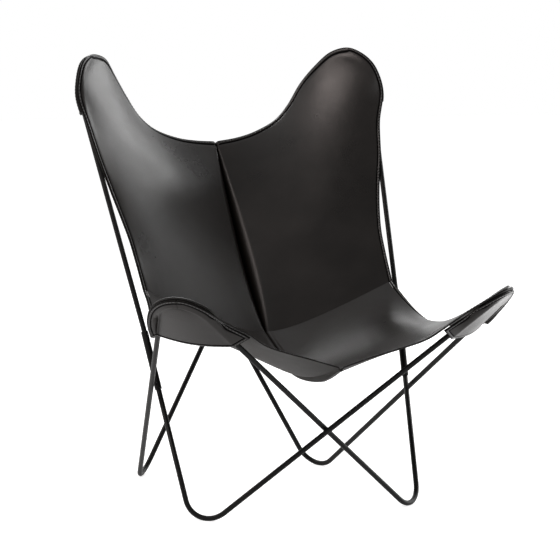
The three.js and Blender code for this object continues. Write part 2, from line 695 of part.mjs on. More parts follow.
function buildSide(sideName, side) {
  const own = loops[side];
  const other = loops[-side];
  const backHorn = hornFrame(own.top, own.foot, own.heel, rearHornRadius, vec(0, -1, 0));
  const seatHorn = hornFrame(other.horn, other.rear, other.front, frontHornRadius, vec(0, 0, 1));
  const corner = vec(side * creaseEnd.halfWidth, creaseEnd.y, creaseEnd.z);

  // Back: free edge from the crease up the side bar, over the horn and down to the seam.
  const sideRun = own.foot.clone().sub(own.kink);
  const onSideBar = (z) => own.kink.clone().addScaledVector(sideRun, (z - own.kink.z) / sideRun.z);
  const backSide = backSideShares.map(([place, inset, forward]) => {
    const point = onSideBar(lerp(corner.z, backHorn.centre.z, place));
    return point.add(vec(-side * inset * sideInset, -forward * sideInset, 0));
  });
  const backTip = tonguePoint(backHorn, backTongueReach / tongueHalfWidth, 0);
  const backOuter = backTongueShares.map((shares) => tonguePoint(backHorn, ...shares));
  const backInner = backInnerShares.map((shares) => tonguePoint(backHorn, ...shares));
  const innerEnd = backInner[backInner.length - 1];
  const topPoints = edgeAlong(seamTop, innerEnd, topEdgeShares, vec(0, 1, 0));
  const backRim = edge([corner, ...backSide, ...backOuter, backTip, ...backInner,
    ...topPoints.reverse(), seamTop]);
  const backTipShare = lengthShareAt(backRim, 1 + backSide.length + backOuter.length);

  // Seat: free edge from the crease to the front horn, round it and along the front.
  const seatOuter = seatTongueShares.map((shares) => tonguePoint(seatHorn, ...shares));
  const seatTip = tonguePoint(seatHorn, seatTongueReach / tongueHalfWidth, 0);
  const seatInner = seatInnerShares.map((shares) => tonguePoint(seatHorn, ...shares));
  const seatSide = edgeAlong(corner, seatOuter[0], seatSideShares, vec(side, 0, 0));
  const frontEnd = seatInner[seatInner.length - 1];
  const frontPoints = edgeAlong(seatEnd, frontEnd, frontEdgeShares, vec(0, 1, 0));
  const seatRim = edge([corner, ...seatSide, ...seatOuter, seatTip, ...seatInner,
    ...frontPoints.reverse(), seatEnd]);
  const seatTipShare = lengthShareAt(seatRim, 1 + seatSide.length + seatOuter.length);

  // Crease and centre seams, all starting a fold's width off the middle.
  const foldStart = (point, fold) => point.clone()
    .setX(fold.x + side * (halfLeather + clearance / 2 + fold.halfWidth));
  const creaseStart = foldStart(middle, backFold(0));
  const creaseLine = new THREE.CubicBezierCurve3(
    creaseStart,
    creaseStart.clone().lerp(corner, CREASE_CURVE_SHARES.near).setZ(creaseStart.z),
    creaseStart.clone().lerp(corner, CREASE_CURVE_SHARES.far).add(vec(0, 0, -creaseDip)),
    corner,
  );
  const crease = creaseLine.getSpacedPoints(ACROSS_STEPS);
  const backSeam = [];
  const seatSeam = [];
  const keel = edge([middle, ...keelShares.map(([place, sag]) => middle.clone().lerp(seatEnd, place)
    .add(vec(0, 0, -sag * keelSag))), seatEnd]);
  for (let j = 0; j <= SEAM_STEPS; j++) {
    const v = j / SEAM_STEPS;
    backSeam.push(foldStart(middle.clone().lerp(seamTop, v), backFold(v)));
    seatSeam.push(foldStart(keel.getPointAt(v), seatFold(v)));
  }

  const backTop = sampleBetween(backRim, 1, backTipShare, ACROSS_STEPS);
  const seatFront = sampleBetween(seatRim, 1, seatTipShare, ACROSS_STEPS);
  backTop[0].copy(backSeam[SEAM_STEPS]);
  seatFront[0].copy(seatSeam[SEAM_STEPS]);
  // The free edge outside a panel's grid: it shares the tip with both of the grid's borders.
  const freeEdges = (rim, tip, top) => ({
    sideRim: [...sampleBetween(rim, 0, tip, SEAM_STEPS).slice(0, -1),
      rim.getPointAt(lerp(0, tip, 1 - TIP_GAP_SHARE / SEAM_STEPS))],
    topRim: [...top.slice(0, -1).map((p) => p.clone()),
      rim.getPointAt(lerp(1, tip, 1 - TIP_GAP_SHARE / ACROSS_STEPS)), rim.getPointAt(tip)],
  });
  const backRows = panelGrid({
    seam: backSeam,
    crease,
    sideEdge: sampleBetween(backRim, 0, backTipShare, SEAM_STEPS),
    topEdge: backTop,
    ...freeEdges(backRim, backTipShare, backTop),
    bar: bars[side].upperStations,
    face: backHorn.face,
    belly: 0,
  });
  const seatRows = panelGrid({
    seam: seatSeam,
    crease,
    sideEdge: sampleBetween(seatRim, 0, seatTipShare, SEAM_STEPS),
    topEdge: seatFront,
    ...freeEdges(seatRim, seatTipShare, seatFront),
    bar: bars[-side].lowerStations,
    face: seatHorn.face,
    belly: seatBelly,
  });
  const back = addSeamFold(backRows, side, backFold);
  const seat = addSeamFold(seatRows, side, seatFold);
  const backNormals = gridNormals(back);
  const seatNormals = gridNormals(seat);
  if (backNormals[MIDDLE_ROW][MIDDLE_COLUMN].dot(vec(0, -1, 1)) < 0) flip(backNormals);
  if (seatNormals[MIDDLE_ROW][MIDDLE_COLUMN].dot(vec(0, 0, 1)) < 0) flip(seatNormals);

  // Mitre along the crease, so that both panels end on one shared plane.
  back[0].forEach((shared, i) => {
    const sum = backNormals[0][i].clone().add(seatNormals[0][i]);
    const mitre = sum.multiplyScalar(1 / (1 + backNormals[0][i].dot(seatNormals[0][i])));
    backNormals[0][i].copy(mitre);
    seatNormals[0][i].copy(mitre);
  });
  const creaseRow = back[0].map((p) => p.clone());
  const creaseGap = clearance * CREASE_GAP_SHARE;
  creaseRow.forEach((p, i) => {
    const before = creaseRow[Math.max(0, i - 1)];
    const after = creaseRow[Math.min(creaseRow.length - 1, i + 1)];
    const across = after.clone().sub(before).cross(backNormals[0][i]).normalize();
    if (across.dot(vec(0, 1, 1)) < 0) across.negate();
    back[0][i] = p.clone().addScaledVector(across, creaseGap);
    seat[0][i] = p.clone().addScaledVector(across, -creaseGap);
  });
  const offsets = (normals) => normals.map((row) => row.map((n) => n.clone().multiplyScalar(halfLeather)));
  piece(`back_panel_${sideName}`, slab(back, offsets(backNormals)), hide);
  piece(`seat_panel_${sideName}`, slab(seat, offsets(seatNormals)), hide);
  pocket(`back_pocket_${sideName}`, backRim, backTipShare, backPocketDepth,
    bars[side].upperStations, backHorn);
  pocket(`seat_pocket_${sideName}`, seatRim, seatTipShare, seatPocketDepth,
    bars[-side].lowerStations, seatHorn);
}

// Nearest place on a bar: its axis point and direction.
function nearestOnBar(point, stations) {
  const segment = new THREE.Line3();
  const foot = new THREE.Vector3();
  let found = { distance: Infinity };
  for (let k = 0; k + 1 < stations.length; k++) {
    segment.set(stations[k].point, stations[k + 1].point);
    segment.closestPointToPoint(point, true, foot);
    const distance = foot.distanceTo(point);
    if (distance < found.distance) {
      const tangent = segment.delta(new THREE.Vector3()).normalize();
      found = { distance, foot: foot.clone(), tangent };
    }
  }
  return found;
}

// A pocket: rows from the tip to the mouth, each from seam to seam round the back of the bar.
function pocket(name, rim, tip, depth, bar, horn) {
  const length = rim.getLength();
  const wrap = liftOffBar + 3 * clearance;
  const half = ({ edgePoint, foot, tangent, outward }) => {
    const behind = horn.face.clone().negate();
    behind.addScaledVector(tangent, -behind.dot(tangent)).normalize();
    const out = new THREE.Vector3().crossVectors(tangent, behind).normalize();
    if (out.dot(outward) < 0) out.negate();
    const seam = edgePoint.clone().addScaledVector(behind, layerPitch + clearance)
      .addScaledVector(out, -halfLeather);
    const spoke = seam.clone().sub(foot);
    const reach = Math.hypot(spoke.dot(out), spoke.dot(behind));
    const meets = Math.atan2(spoke.dot(behind), spoke.dot(out)) + Math.acos(Math.min(1, wrap / reach));
    const round = POCKET_WRAP_SHARES.map((share) => {
      const angle = lerp(Math.min(meets, Math.PI / 2 - POCKET_LEAST_WRAP), Math.PI / 2, share);
      return foot.clone().addScaledVector(out, wrap * Math.cos(angle))
        .addScaledVector(behind, wrap * Math.sin(angle));
    });
    return [seam, ...round];
  };
  const rows = [];
  for (let k = 0; k <= POCKET_ROWS; k++) {
    const away = lerp(pocketStart, depth, (k / POCKET_ROWS) ** POCKET_ROW_POWER) / length;
    const [outer, inner] = [-1, 1].map((way) => {
      const edgePoint = rim.getPointAt(tip + way * away);
      const outward = horn.outward.clone().multiplyScalar(-way)
        .addScaledVector(horn.reach, 1 - k / POCKET_ROWS);
      return half({ edgePoint, outward, ...nearestOnBar(edgePoint, bar) });
    });
    const from = outer[outer.length - 1];
    const to = inner[inner.length - 1];
    const flat = POCKET_FLAT_SHARES.map((share) => from.clone().lerp(to, share)
      .addScaledVector(horn.face, -pocketSag * Math.sin(Math.PI * share) * (k / POCKET_ROWS)));
    rows.push([...outer, ...flat, ...inner.reverse()]);
  }
  const normals = gridNormals(rows);
  const offsets = normals.map((row) => row.map((n) => n.clone().multiplyScalar(halfLeather)));
  piece(name, slab(rows, offsets), hide);
}

function flip(normals) {
  normals.forEach((row) => row.forEach((n) => n.negate()));
}

buildSide('left', LEFT);
buildSide('right', RIGHT);

// The origin goes under the middle of the whole chair.
const whole = new THREE.Box3().setFromObject(chair).getCenter(new THREE.Vector3());
chair.children.forEach((mesh) => mesh.geometry.translate(-whole.x, -whole.y, 0));

export default chair;
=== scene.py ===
"""Looks of the butterfly sling chair: leather sling, stitching, smooth bars, light and camera.

Sizes are in millimetres in the making, and in metres once a mesh is made.
"""
import math

import bpy
import numpy as np
from mathutils import Matrix


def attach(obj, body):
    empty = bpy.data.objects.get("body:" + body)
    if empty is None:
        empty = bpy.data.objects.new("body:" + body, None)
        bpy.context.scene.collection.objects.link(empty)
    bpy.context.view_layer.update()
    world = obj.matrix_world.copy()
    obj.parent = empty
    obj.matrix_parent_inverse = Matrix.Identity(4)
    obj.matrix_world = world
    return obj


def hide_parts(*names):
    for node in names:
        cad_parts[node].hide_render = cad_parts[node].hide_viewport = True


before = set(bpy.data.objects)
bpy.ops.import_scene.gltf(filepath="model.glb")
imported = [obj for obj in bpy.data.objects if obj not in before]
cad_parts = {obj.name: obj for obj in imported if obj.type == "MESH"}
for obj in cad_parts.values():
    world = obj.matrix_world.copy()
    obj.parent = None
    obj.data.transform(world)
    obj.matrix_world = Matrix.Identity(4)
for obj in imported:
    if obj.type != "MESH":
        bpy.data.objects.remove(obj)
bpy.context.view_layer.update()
MM = 0.001
SHIFT = np.array([0.0, 34.7016, 0.0])  # from the loops' own middle to the row's origin


def vec(x, y, z):
    return np.array([x, y, z], float)


def unit(v):
    return v / np.maximum(np.linalg.norm(v, axis=-1, keepdims=True), 1e-12)


# Placing
def add_object(name, data):
    obj = bpy.data.objects.new(name, data)
    bpy.context.scene.collection.objects.link(obj)
    return obj


def aim_object(name, data, right, up, back, place):
    """New object at a place in metres, with its X, Y and Z axes along right, up and back."""
    obj = add_object(name, data)
    matrix = np.eye(4)
    matrix[:3, 0], matrix[:3, 1], matrix[:3, 2], matrix[:3, 3] = right, up, back, place
    obj.matrix_world = Matrix(matrix.tolist())
    return obj


# Camera
PICTURE_WIDTH, FOCAL_LENGTH = 560, 2500  # pixels
SENSOR_WIDTH = 36
FAR_CLIP = 50  # metres
CAMERA_TURN = (-20.97, 6.78, 0.53)  # azimuth, elevation and roll in degrees
CAMERA_PLACE = vec(-1896.3, -5017.4, 1097.8)


def make_camera():
    azimuth, elevation, roll = (math.radians(angle) for angle in CAMERA_TURN)
    back = vec(math.sin(azimuth) * math.cos(elevation),
               -math.cos(azimuth) * math.cos(elevation), math.sin(elevation))
    right = vec(math.cos(azimuth), math.sin(azimuth), 0)
    up = np.cross(back, right)
    right, up = (right * math.cos(roll) + up * math.sin(roll),
                 up * math.cos(roll) - right * math.sin(roll))
    data = bpy.data.cameras.new("camera")
    data.sensor_fit = "HORIZONTAL"
    data.sensor_width = SENSOR_WIDTH
    data.lens = FOCAL_LENGTH / PICTURE_WIDTH * SENSOR_WIDTH
    data.clip_end = FAR_CLIP
    bpy.context.scene.camera = aim_object("camera", data, right, up, back,
                                          (CAMERA_PLACE + SHIFT) * MM)


make_camera()

# Sizes
CLEARANCE = 0.3
BAR = 5.5  # radius
REST = 0.4  # how far the round bar is flattened on the floor
LEATHER = 3.6
HALF = LEATHER / 2
PITCH = LEATHER + CLEARANCE
LIFT = BAR + CLEARANCE + HALF  # from a bar's axis to the middle of the leather on it
FRONT_FLOOR = (255, -254)
REAR_FLOOR = (211, 254)
FRONT_HORN = (395, -492, 534)
KINK = (296, -36, 371)
HORN_FOOT = (349, 259, 846)
HORN_TOP = (315, 320, 1005)
HORN_HEEL = (260, 363, 846)
FLOOR_R, FRONT_R, REAR_R, COMPOUND_R, KINK_R = 53, 55, 54, 90, 220
SLEEVE_LENGTH, SLEEVE_DROP, SLEEVE_RISE = 130, 6, 48
SEAM_END = vec(0, -418, 329)
MIDDLE = vec(0, 12, 345)
SEAM_TOP = vec(18, 400, 734)
CREASE_END = (287, -10, 450)
CREASE_DIP = 14
CREASE_NEAR = 0.18  # where the level first handle of the crease's curve lies
CREASE_SAMPLES = 300
CREASE_GAP = 0.1  # how far each panel stands off the crease
MITRE_MOST = 1.5  # longest mitre, as a share of half the leather
SEAM_FOLD, VALLEY_DEPTH, VALLEY_HALF = 4, 32, 17
VALLEY_POWER = 0.72  # under 1 it brings the widest place of the centre fold down
ALLOWANCE = 12
ALLOWANCE_END = 0.2  # share of the allowance that is left at the front edge
FOLD_TURN = 4  # a fold turns to its own direction over one part in this many of its seam
KEEL_SAG = 47
TONGUE_HALF = 89
POCKET_SAG, SEAT_BELLY, BELLY_POWER = 9, 26, 0.55
SIDE_INSET = 25
BACK_POCKET, SEAT_POCKET = 172, 175
INNER_LONGER = 1.07  # how much further a seat pocket is sewn on its inner side
BAR_REACH = 45  # how near a bar the leather is lifted over it
BAR_WATCH = BAR_REACH + 40  # how near a bar a point starts that smoothing lifts over it
POCKET_WRAP = LIFT + 3 * CLEARANCE  # from a bar's axis to the middle of a pocket round it
WELD_SHARE = 0.62  # size of a weld bead against the one it replaces
ROD_SIDES, WELD_RINGS, WELD_SIDES = 32, 12, 20
SKEW = vec(0.3, 0.2, 0.9)  # a direction that no bar starts in
DRAPE = 0.05  # how fast the leather may fall off beside a bar
LEFT, RIGHT = -1, 1


# Lines
def lerp(a, b, t):
    return a + (b - a) * t


def walk_along(points):
    """Distance of each point from the first one, along the line."""
    return np.concatenate([[0], np.cumsum(np.linalg.norm(np.diff(points, axis=0), axis=1))])


def read_at(distance, walk, values):
    """Values along a line at one distance or more."""
    return np.stack([np.interp(distance, walk, values[:, k]) for k in range(3)], -1)


# Bars
TURN_STEP, ROUGH_TURN_STEP = math.pi / 40, math.pi / 16
HALVINGS = 40


def bend(before, corner, after, radius, step=TURN_STEP):
    u = unit(before - corner)
    w = unit(after - corner)
    half = math.acos(np.clip(u @ w, -1, 1)) / 2
    centre = unit(u + w) * radius / math.sin(half) + corner
    start = u * radius / math.tan(half) + corner
    spoke = start - centre
    turn = math.pi - 2 * half
    steps = max(2, math.ceil(turn / step))
    out = []
    for k in range(steps + 1):
        a = turn * k / steps
        point = spoke * math.cos(a) - u * radius * math.sin(a) + centre
        tangent = unit(-u * math.cos(a) - spoke * math.sin(a) / radius)
        out.append((point, tangent))
    return out, centre


def bar_stations(corners, radii):
    out = [(corners[0], unit(corners[1] - corners[0]))]
    for k in range(1, len(corners) - 1):
        out += bend(corners[k - 1], corners[k], corners[k + 1], radii[k - 1])[0]
    out.append((corners[-1], unit(corners[-1] - corners[-2])))
    return out


def at(corner, side, shift):
    return vec(side * corner[0], corner[1] + shift, corner[2])


def floor_corner(side, corner, before, after):
    low, high = -2.0 * FLOOR_R, float(FLOOR_R)
    point = vec(side * corner[0], corner[1], 0)
    for _ in range(HALVINGS):
        point[2] = (low + high) / 2
        lowest = min(p[2] for p, _t in bend(before, point, after, FLOOR_R, ROUGH_TURN_STEP)[0])
        if lowest > BAR - REST:
            high = point[2]
        else:
            low = point[2]
    return point


def loop_layout(side, shift):
    loop = {"side": side, "kink": at(KINK, side, shift), "horn": at(FRONT_HORN, -side, shift),
            "foot": at(HORN_FOOT, side, shift), "top": at(HORN_TOP, side, shift),
            "heel": at(HORN_HEEL, side, shift)}
    loop["front"] = floor_corner(side, (FRONT_FLOOR[0], FRONT_FLOOR[1] + shift),
                                 loop["kink"], loop["horn"])
    loop["rear"] = floor_corner(-side, (REAR_FLOOR[0], REAR_FLOOR[1] + shift),
                                loop["horn"], loop["heel"])
    return loop


def crossing(a, b):
    return a + (b - a) * a[0] / (a[0] - b[0])


# Each loop moves by LOOP_SHIFT, one forwards and one back, so that they clear each other.
unshifted = loop_layout(LEFT, 0)
diagonal = unshifted["horn"] - unshifted["front"]
LOOP_SHIFT = (2 * BAR + CLEARANCE) / 2 / (abs(diagonal[2]) / math.hypot(diagonal[1], diagonal[2]))
loops = {LEFT: loop_layout(LEFT, -LOOP_SHIFT), RIGHT: loop_layout(RIGHT, LOOP_SHIFT)}


def loop_bars(loop):
    down = unit(loop["front"] - loop["kink"])
    side_joint = loop["kink"] + down * (SLEEVE_DROP + SLEEVE_LENGTH / 2)
    rear_down = unit(loop["rear"] - loop["heel"])
    rear_joint = crossing(loop["heel"], loop["rear"]) \
        - rear_down * (SLEEVE_RISE + SLEEVE_LENGTH / 2)
    gap = CLEARANCE / 2
    upper = [side_joint - down * gap, loop["kink"], loop["foot"], loop["top"], loop["heel"],
             rear_joint - rear_down * gap]
    lower = [side_joint + down * gap, loop["front"], loop["horn"], loop["rear"],
             rear_joint + rear_down * gap]
    return (bar_stations(upper, [KINK_R, COMPOUND_R, REAR_R, COMPOUND_R]),
            bar_stations(lower, [FLOOR_R, FRONT_R, FLOOR_R]))


bars = {side: loop_bars(loops[side]) for side in (LEFT, RIGHT)}


def segments(stations):
    points = np.array([p for p, _t in stations])
    return points[:-1], points[1:]


def nearest_on(points, stations):
    """Nearest place on a line to each point, with the line's direction and the distance."""
    a, b = segments(stations)
    d = b - a
    length2 = np.maximum((d * d).sum(1), 1e-9)
    flat = points.reshape(-1, 3)
    t = np.clip(((flat[:, None] - a) * d).sum(2) / length2, 0, 1)
    feet = a + t[..., None] * d
    gap = np.linalg.norm(flat[:, None] - feet, axis=2)
    k = gap.argmin(1)
    n = np.arange(len(flat))
    shape = points.shape
    return (feet[n, k].reshape(shape), unit(d[k]).reshape(shape), gap[n, k].reshape(shape[:-1]))


# Sling layout
def horn_frame(tip, outer, inner, radius, hint):
    centre = bend(outer, tip, inner, radius)[1]
    reach = unit(tip - centre)
    outward = unit(unit(outer - tip) - unit(inner - tip))
    face = unit(np.cross(reach, outward))
    if face @ hint < 0:
        face = -face
    return {"centre": centre, "reach": reach, "outward": outward, "face": face}


SEAM_LIFT = PITCH / 2 / LIFT


def tongue_point(horn, reach, out, lift=SEAM_LIFT):
    return horn["centre"] + horn["reach"] * reach * TONGUE_HALF \
        + horn["outward"] * out * TONGUE_HALF + horn["face"] * lift * LIFT


# Beside the back rod: share of the height up to the horn, then in and forwards in SIDE_INSET.
BACK_SIDE = [(0.13, 0.76, 0.60), (0.24, 0.80, 0.30), (0.35, 0.64, 0.12),
             (0.48, 0.36, 0.14), (0.63, 0.02, 0.48), (0.81, -0.24, 0.62)]
# Round a horn: towards its tip and outwards in TONGUE_HALF, then over the bar in LIFT.
# The real sling hangs lower on its left rear horn and wider on its right one.
BACK_TONGUE = {LEFT: [(-0.20, 0.95), (0.29, 0.79), (0.60, 0.51)],
               RIGHT: [(-0.21, 1.11), (0.23, 0.98), (0.60, 0.73), (0.85, 0.34)]}
BACK_INNER = {LEFT: [(0.745, -0.37, 0.6), (0.62, -0.72, 1.4), (0.20, -1.06, 2.1)],
              RIGHT: [(0.80, -0.47, 0.5), (0.46, -0.85, 1.1), (-0.03, -1.24, 1.9)]}
BACK_REACH = {LEFT: 67, RIGHT: 83}
SEAT_TONGUE = {LEFT: [(-0.68, 1.07, -1.6), (-0.13, 1.00, -1.2), (0.40, 0.76, -0.4),
                      (0.71, 0.40, 0.1)],
               RIGHT: [(-0.68, 1.07, -1.6), (-0.13, 1.00, -1.2), (0.38, 0.76, -0.5),
                       (0.68, 0.40, -0.2)]}
SEAT_TIP_LIFT = {LEFT: SEAM_LIFT, RIGHT: -0.3}
SEAT_REACH = {LEFT: 74, RIGHT: 70}
SEAT_INNER = {LEFT: [(0.81, -0.28), (0.50, -0.66, 0.6), (-0.05, -0.80, 1.6)],
              RIGHT: [(0.76, -0.28, 0), (0.49, -0.66, 0.7), (-0.05, -0.80, 1.6)]}
# Between two ends: share of the way, aside as a share of its length, share of the height.
TOP_EDGE = {LEFT: [(0.20, -0.004, 0.02), (0.39, -0.008, 0.07), (0.62, -0.012, 0.21),
                   (0.78, -0.012, 0.42), (0.89, -0.008, 0.69)],
            RIGHT: [(0.24, -0.005, 0.06), (0.45, -0.01, 0.16), (0.70, -0.012, 0.37),
                    (0.84, -0.008, 0.61)]}
SEAT_SIDE = [(0.145, -0.024, 0.42), (0.33, -0.035, 0.98), (0.53, -0.042, 1.35),
             (0.85, -0.014, 1.1)]
FRONT_EDGE = [(0.26, 0.00, 0.20), (0.48, -0.02, 0.36), (0.66, -0.04, 0.52), (0.80, -0.05, 0.74)]
# Along the seat's centre seam: share of the way, and depth in KEEL_SAG.
KEEL = [(0.15, 0.47), (0.30, 0.84), (0.44, 1.0), (0.65, 0.86), (0.85, 0.47)]


RIM_STEPS = 60  # from one point of a rim to the next


class Rim:
    """Smooth edge through points, read by its arc length."""

    def __init__(self, points):
        p = [np.asarray(q, float) for q in points]
        p = [2 * p[0] - p[1]] + p + [2 * p[-1] - p[-2]]
        out = []
        self.marks = [0]
        for k in range(1, len(p) - 2):
            x0, x1, x2, x3 = p[k - 1:k + 3]
            d0, d1, d2 = (max(math.sqrt(np.linalg.norm(b - a)), 1e-4)
                          for a, b in ((x0, x1), (x1, x2), (x2, x3)))
            t1 = ((x1 - x0) / d0 - (x2 - x0) / (d0 + d1) + (x2 - x1) / d1) * d1
            t2 = ((x2 - x1) / d1 - (x3 - x1) / (d1 + d2) + (x3 - x2) / d2) * d1
            t = np.linspace(0, 1, RIM_STEPS, endpoint=False)[:, None]
            out.append(x1 + t1 * t + (-3 * x1 + 3 * x2 - 2 * t1 - t2) * t ** 2
                       + (2 * x1 - 2 * x2 + t1 + t2) * t ** 3)
            self.marks.append(k * RIM_STEPS)
        out.append(p[-2][None])
        self.line = np.vstack(out)
        self.walk = walk_along(self.line)
        self.length = self.walk[-1]

    def at(self, share):
        return read_at(np.asarray(share) * self.length, self.walk, self.line)

    def share_of(self, index):
        return self.walk[self.marks[index]] / self.length


def edge_along(start, end, shares, out_direction):
    span = np.linalg.norm(end - start)
    points = []
    for place, out, height in shares:
        point = lerp(start, end, place) + out_direction * out * span
        point[2] = lerp(start[2], end[2], height)
        points.append(point)
    return points


chord = SEAM_TOP - MIDDLE
BACKWARD = unit(vec(0, chord[2], -chord[1]))
DOWN = vec(0, 0, -1)
CREASE_BACK = unit(BACKWARD + DOWN)


def back_fold(v):
    """Centre fold of the back: middle, half width, depth, direction and allowance."""
    swell = math.sin(math.pi * v ** VALLEY_POWER)
    return (lerp(MIDDLE[0], SEAM_TOP[0], v), SEAM_FOLD + VALLEY_HALF * swell,
            SEAM_FOLD + VALLEY_DEPTH * swell,
            unit(lerp(CREASE_BACK, BACKWARD, min(1, FOLD_TURN * v))), ALLOWANCE)


def seat_fold(v):
    return (0, SEAM_FOLD, SEAM_FOLD, unit(lerp(CREASE_BACK, DOWN, min(1, FOLD_TURN * v))),
            ALLOWANCE * min(1, ALLOWANCE_END + FOLD_TURN * (1 - v)))


def seam_x(fold, side):
    """Where a panel's middle surface turns into its fold."""
    return fold[0] + side * (HALF + CLEARANCE / 2 + fold[1])


# Sling surfaces
COARSE = (12, 14)
FINER = 6
SMOOTHING = ((1, 700, 5), (FINER, 110, 4))  # fineness, rounds, and rounds per look at the bar
LAST_ROUNDS = 3  # each of these looks at the bar
FOLD_STEPS = 9
FOLD_COLUMNS = FOLD_STEPS + 2  # with the two of the allowance
FOLD_POWER = 0.8  # at 1 the fold would be part of an ellipse
# The hem, from the free edge inwards: how far in, how deep, and how much painted shade on the
# rounded edge and in the groove. Below 0 is raised, or a lighter painted highlight on the raised
# band.
HEM = ((0, 0.8, 1), (1.5, 0.1, 0.95), (2.3, -0.3, -0.3), (3.6, -0.4, -0.5), (4.9, -0.3, -0.4),
       (5.6, 0.4, 0.8), (6.4, 1.0, 1), (7.6, 1.0, 1), (8.4, 0.3, 0.5), (9.8, 0, 0))
CUT_EDGE_PAINTED_SHADE = 0.4  # how much of the hem's painted shade the cut edge keeps, as painted shade of its own
# Columns of HEM: how deep, and how much painted shade.
DEEP, PAINTED_SHADE = 1, 2
HEM_STEPS = tuple(far for far, _deep, _dark in HEM[1:])
TOP_HEM = 1.5  # how much wider the hem is along the top and front edges


def coons(seam, crease, side, top):
    rows, columns = len(seam), len(crease)
    v = np.linspace(0, 1, rows)[:, None, None]
    u = np.linspace(0, 1, columns)[None, :, None]
    return (seam[:, None] * (1 - u) + side[:, None] * u + crease[None] * (1 - v) + top[None] * v
            - crease[0] * (1 - u) * (1 - v) - crease[-1] * u * (1 - v)
            - top[0] * (1 - u) * v - top[-1] * u * v)


def relax(grid, stations, face, rounds, every):
    """Smooth filling between fixed borders, kept in front of the bar."""
    inner = grid[1:-1, 1:-1]
    start = inner.reshape(-1, 3)
    chosen = np.nonzero(nearest_on(start, stations)[2] < BAR_WATCH)[0]
    for k in range(rounds):
        inner[:] = (grid[:-2, 1:-1] + grid[2:, 1:-1] + grid[1:-1, :-2] + grid[1:-1, 2:]) / 4
        if len(chosen) and (k % every == 0 or k >= rounds - LAST_ROUNDS):
            flat = inner.reshape(-1, 3)
            flat[chosen] = lift_over(flat[chosen], stations, face)
            inner[:] = flat.reshape(inner.shape)


def lift_over(points, stations, face):
    feet, tangents, gap = nearest_on(points, stations)
    up = unit(face - tangents * (tangents @ face)[:, None])
    spoke = points - feet
    height = (spoke * up).sum(1)
    beside = np.linalg.norm(spoke - up * height[:, None], axis=1)
    needed = LIFT + CLEARANCE - DRAPE * np.maximum(0, beside - LIFT) ** 2
    short = np.where(gap < BAR_REACH, np.maximum(0, needed - height), 0)
    return points + up * short[:, None]


def hang(grid, stations, face, depth):
    """Lets the inside of a panel hang under its smoothest shape, most of all near the seam."""
    rows, columns = grid.shape[:2]
    across = np.sin(math.pi * np.linspace(0, 1, columns) ** BELLY_POWER)
    along = np.sin(math.pi * np.linspace(0, 1, rows))
    grid[..., 2] -= depth * along[:, None] * across[None]
    inner = grid[1:-1, 1:-1]
    inner[:] = lift_over(inner.reshape(-1, 3), stations, face).reshape(inner.shape)


def upsample(grid, rows, columns):
    old_r, old_c = np.linspace(0, 1, grid.shape[0]), np.linspace(0, 1, grid.shape[1])
    new_r, new_c = np.linspace(0, 1, rows), np.linspace(0, 1, columns)
    wide = np.stack([[np.interp(new_c, old_c, grid[j, :, k]) for j in range(grid.shape[0])]
                     for k in range(3)], -1)
    return np.stack([[np.interp(new_r, old_r, wide[:, i, k]) for i in range(columns)]
                     for k in range(3)], -1).transpose(1, 0, 2)


def seam_line(points, fold_at, side):
    out = []
    for j, point in enumerate(points):
        q = point.copy()
        q[0] = seam_x(fold_at(j / (len(points) - 1)), side)
        out.append(q)
    return np.array(out)


def fill_panel(seam_at, crease_line, rim, tip, stations, face, belly):
    """Fine grid of a panel: rows along its centre seam, columns out to its free side edge."""
    grid = None
    for scale, rounds, every in SMOOTHING:
        rows, columns = COARSE[0] * scale + 1, COARSE[1] * scale + 1
        seam = seam_at(rows)
        crease = crease_line(columns)
        side = rim.at(np.linspace(0, tip, rows))
        top = rim.at(np.linspace(1, tip, columns))
        top[0] = seam[-1]
        if grid is None:
            grid = coons(seam, crease, side, top)
        else:
            grid = upsample(grid, rows, columns)
            grid[:, 0], grid[:, -1], grid[0], grid[-1] = seam, side, crease, top
        relax(grid, stations, face, rounds, every)
    if belly:
        hang(grid, stations, face, belly)
    return grid


def add_hem(grid):
    """Rows at the hem's own distances from the two free borders."""
    def grow(g, wider):
        last = len(g) - 1
        far = nearest_on(g, [(point, None) for point in g[-1]])[2]
        out = np.empty((last + 1 + len(HEM_STEPS), g.shape[1], 3))
        for i in range(g.shape[1]):
            reach = np.maximum.accumulate(far[::-1, i])
            back = np.interp(np.array(HEM_STEPS) * wider, reach, np.arange(last + 1))
            places = np.concatenate([np.linspace(0, last - back[-1], last + 1)[:-1],
                                     last - back[::-1], [last]])
            for k in range(3):
                out[:, i, k] = np.interp(places, np.arange(last + 1), g[:, i, k])
        return out
    grid = grow(grid, TOP_HEM)
    return grow(grid.transpose(1, 0, 2), 1).transpose(1, 0, 2)


def hem_values(grid, which, both_sides=False):
    """Depth or painted shade of the hem on a grid whose last row and column are free edges."""
    rows, columns = grid.shape[:2]
    below = np.arange(rows - 1, -1, -1)[:, None]
    beside = np.arange(columns - 1, -1, -1)[None]
    if both_sides:
        beside = np.minimum(beside, np.arange(columns)[None])
    step = np.minimum(np.minimum(below, beside), len(HEM) - 1)
    return np.array([row[which] for row in HEM])[step]


def add_fold(grid, side, fold_at, seam_rows):
    out = []
    last = len(grid) - 1
    for j, row in enumerate(grid):
        x, half, depth, back, allowance = fold_at(min(1, j / max(1, seam_rows)))
        plane = x + side * (HALF + CLEARANCE / 2)
        base = row[0].copy()
        base[0] = plane
        extra = [base + back * (depth + allowance), base + back * (depth + allowance / 2)]
        for k in range(FOLD_STEPS):
            angle = math.pi / 2 * (1 - k / FOLD_STEPS)
            point = base.copy()
            point[0] = plane + side * half * (1 - math.sin(angle))
            extra.append(point + back * depth * (1 - math.cos(angle)) ** FOLD_POWER)
        out.append(np.vstack([extra, row]))
    return np.array(out)


def grid_normals(grid):
    du = np.gradient(grid, axis=1)
    dv = np.gradient(grid, axis=0)
    return unit(np.cross(du, dv))


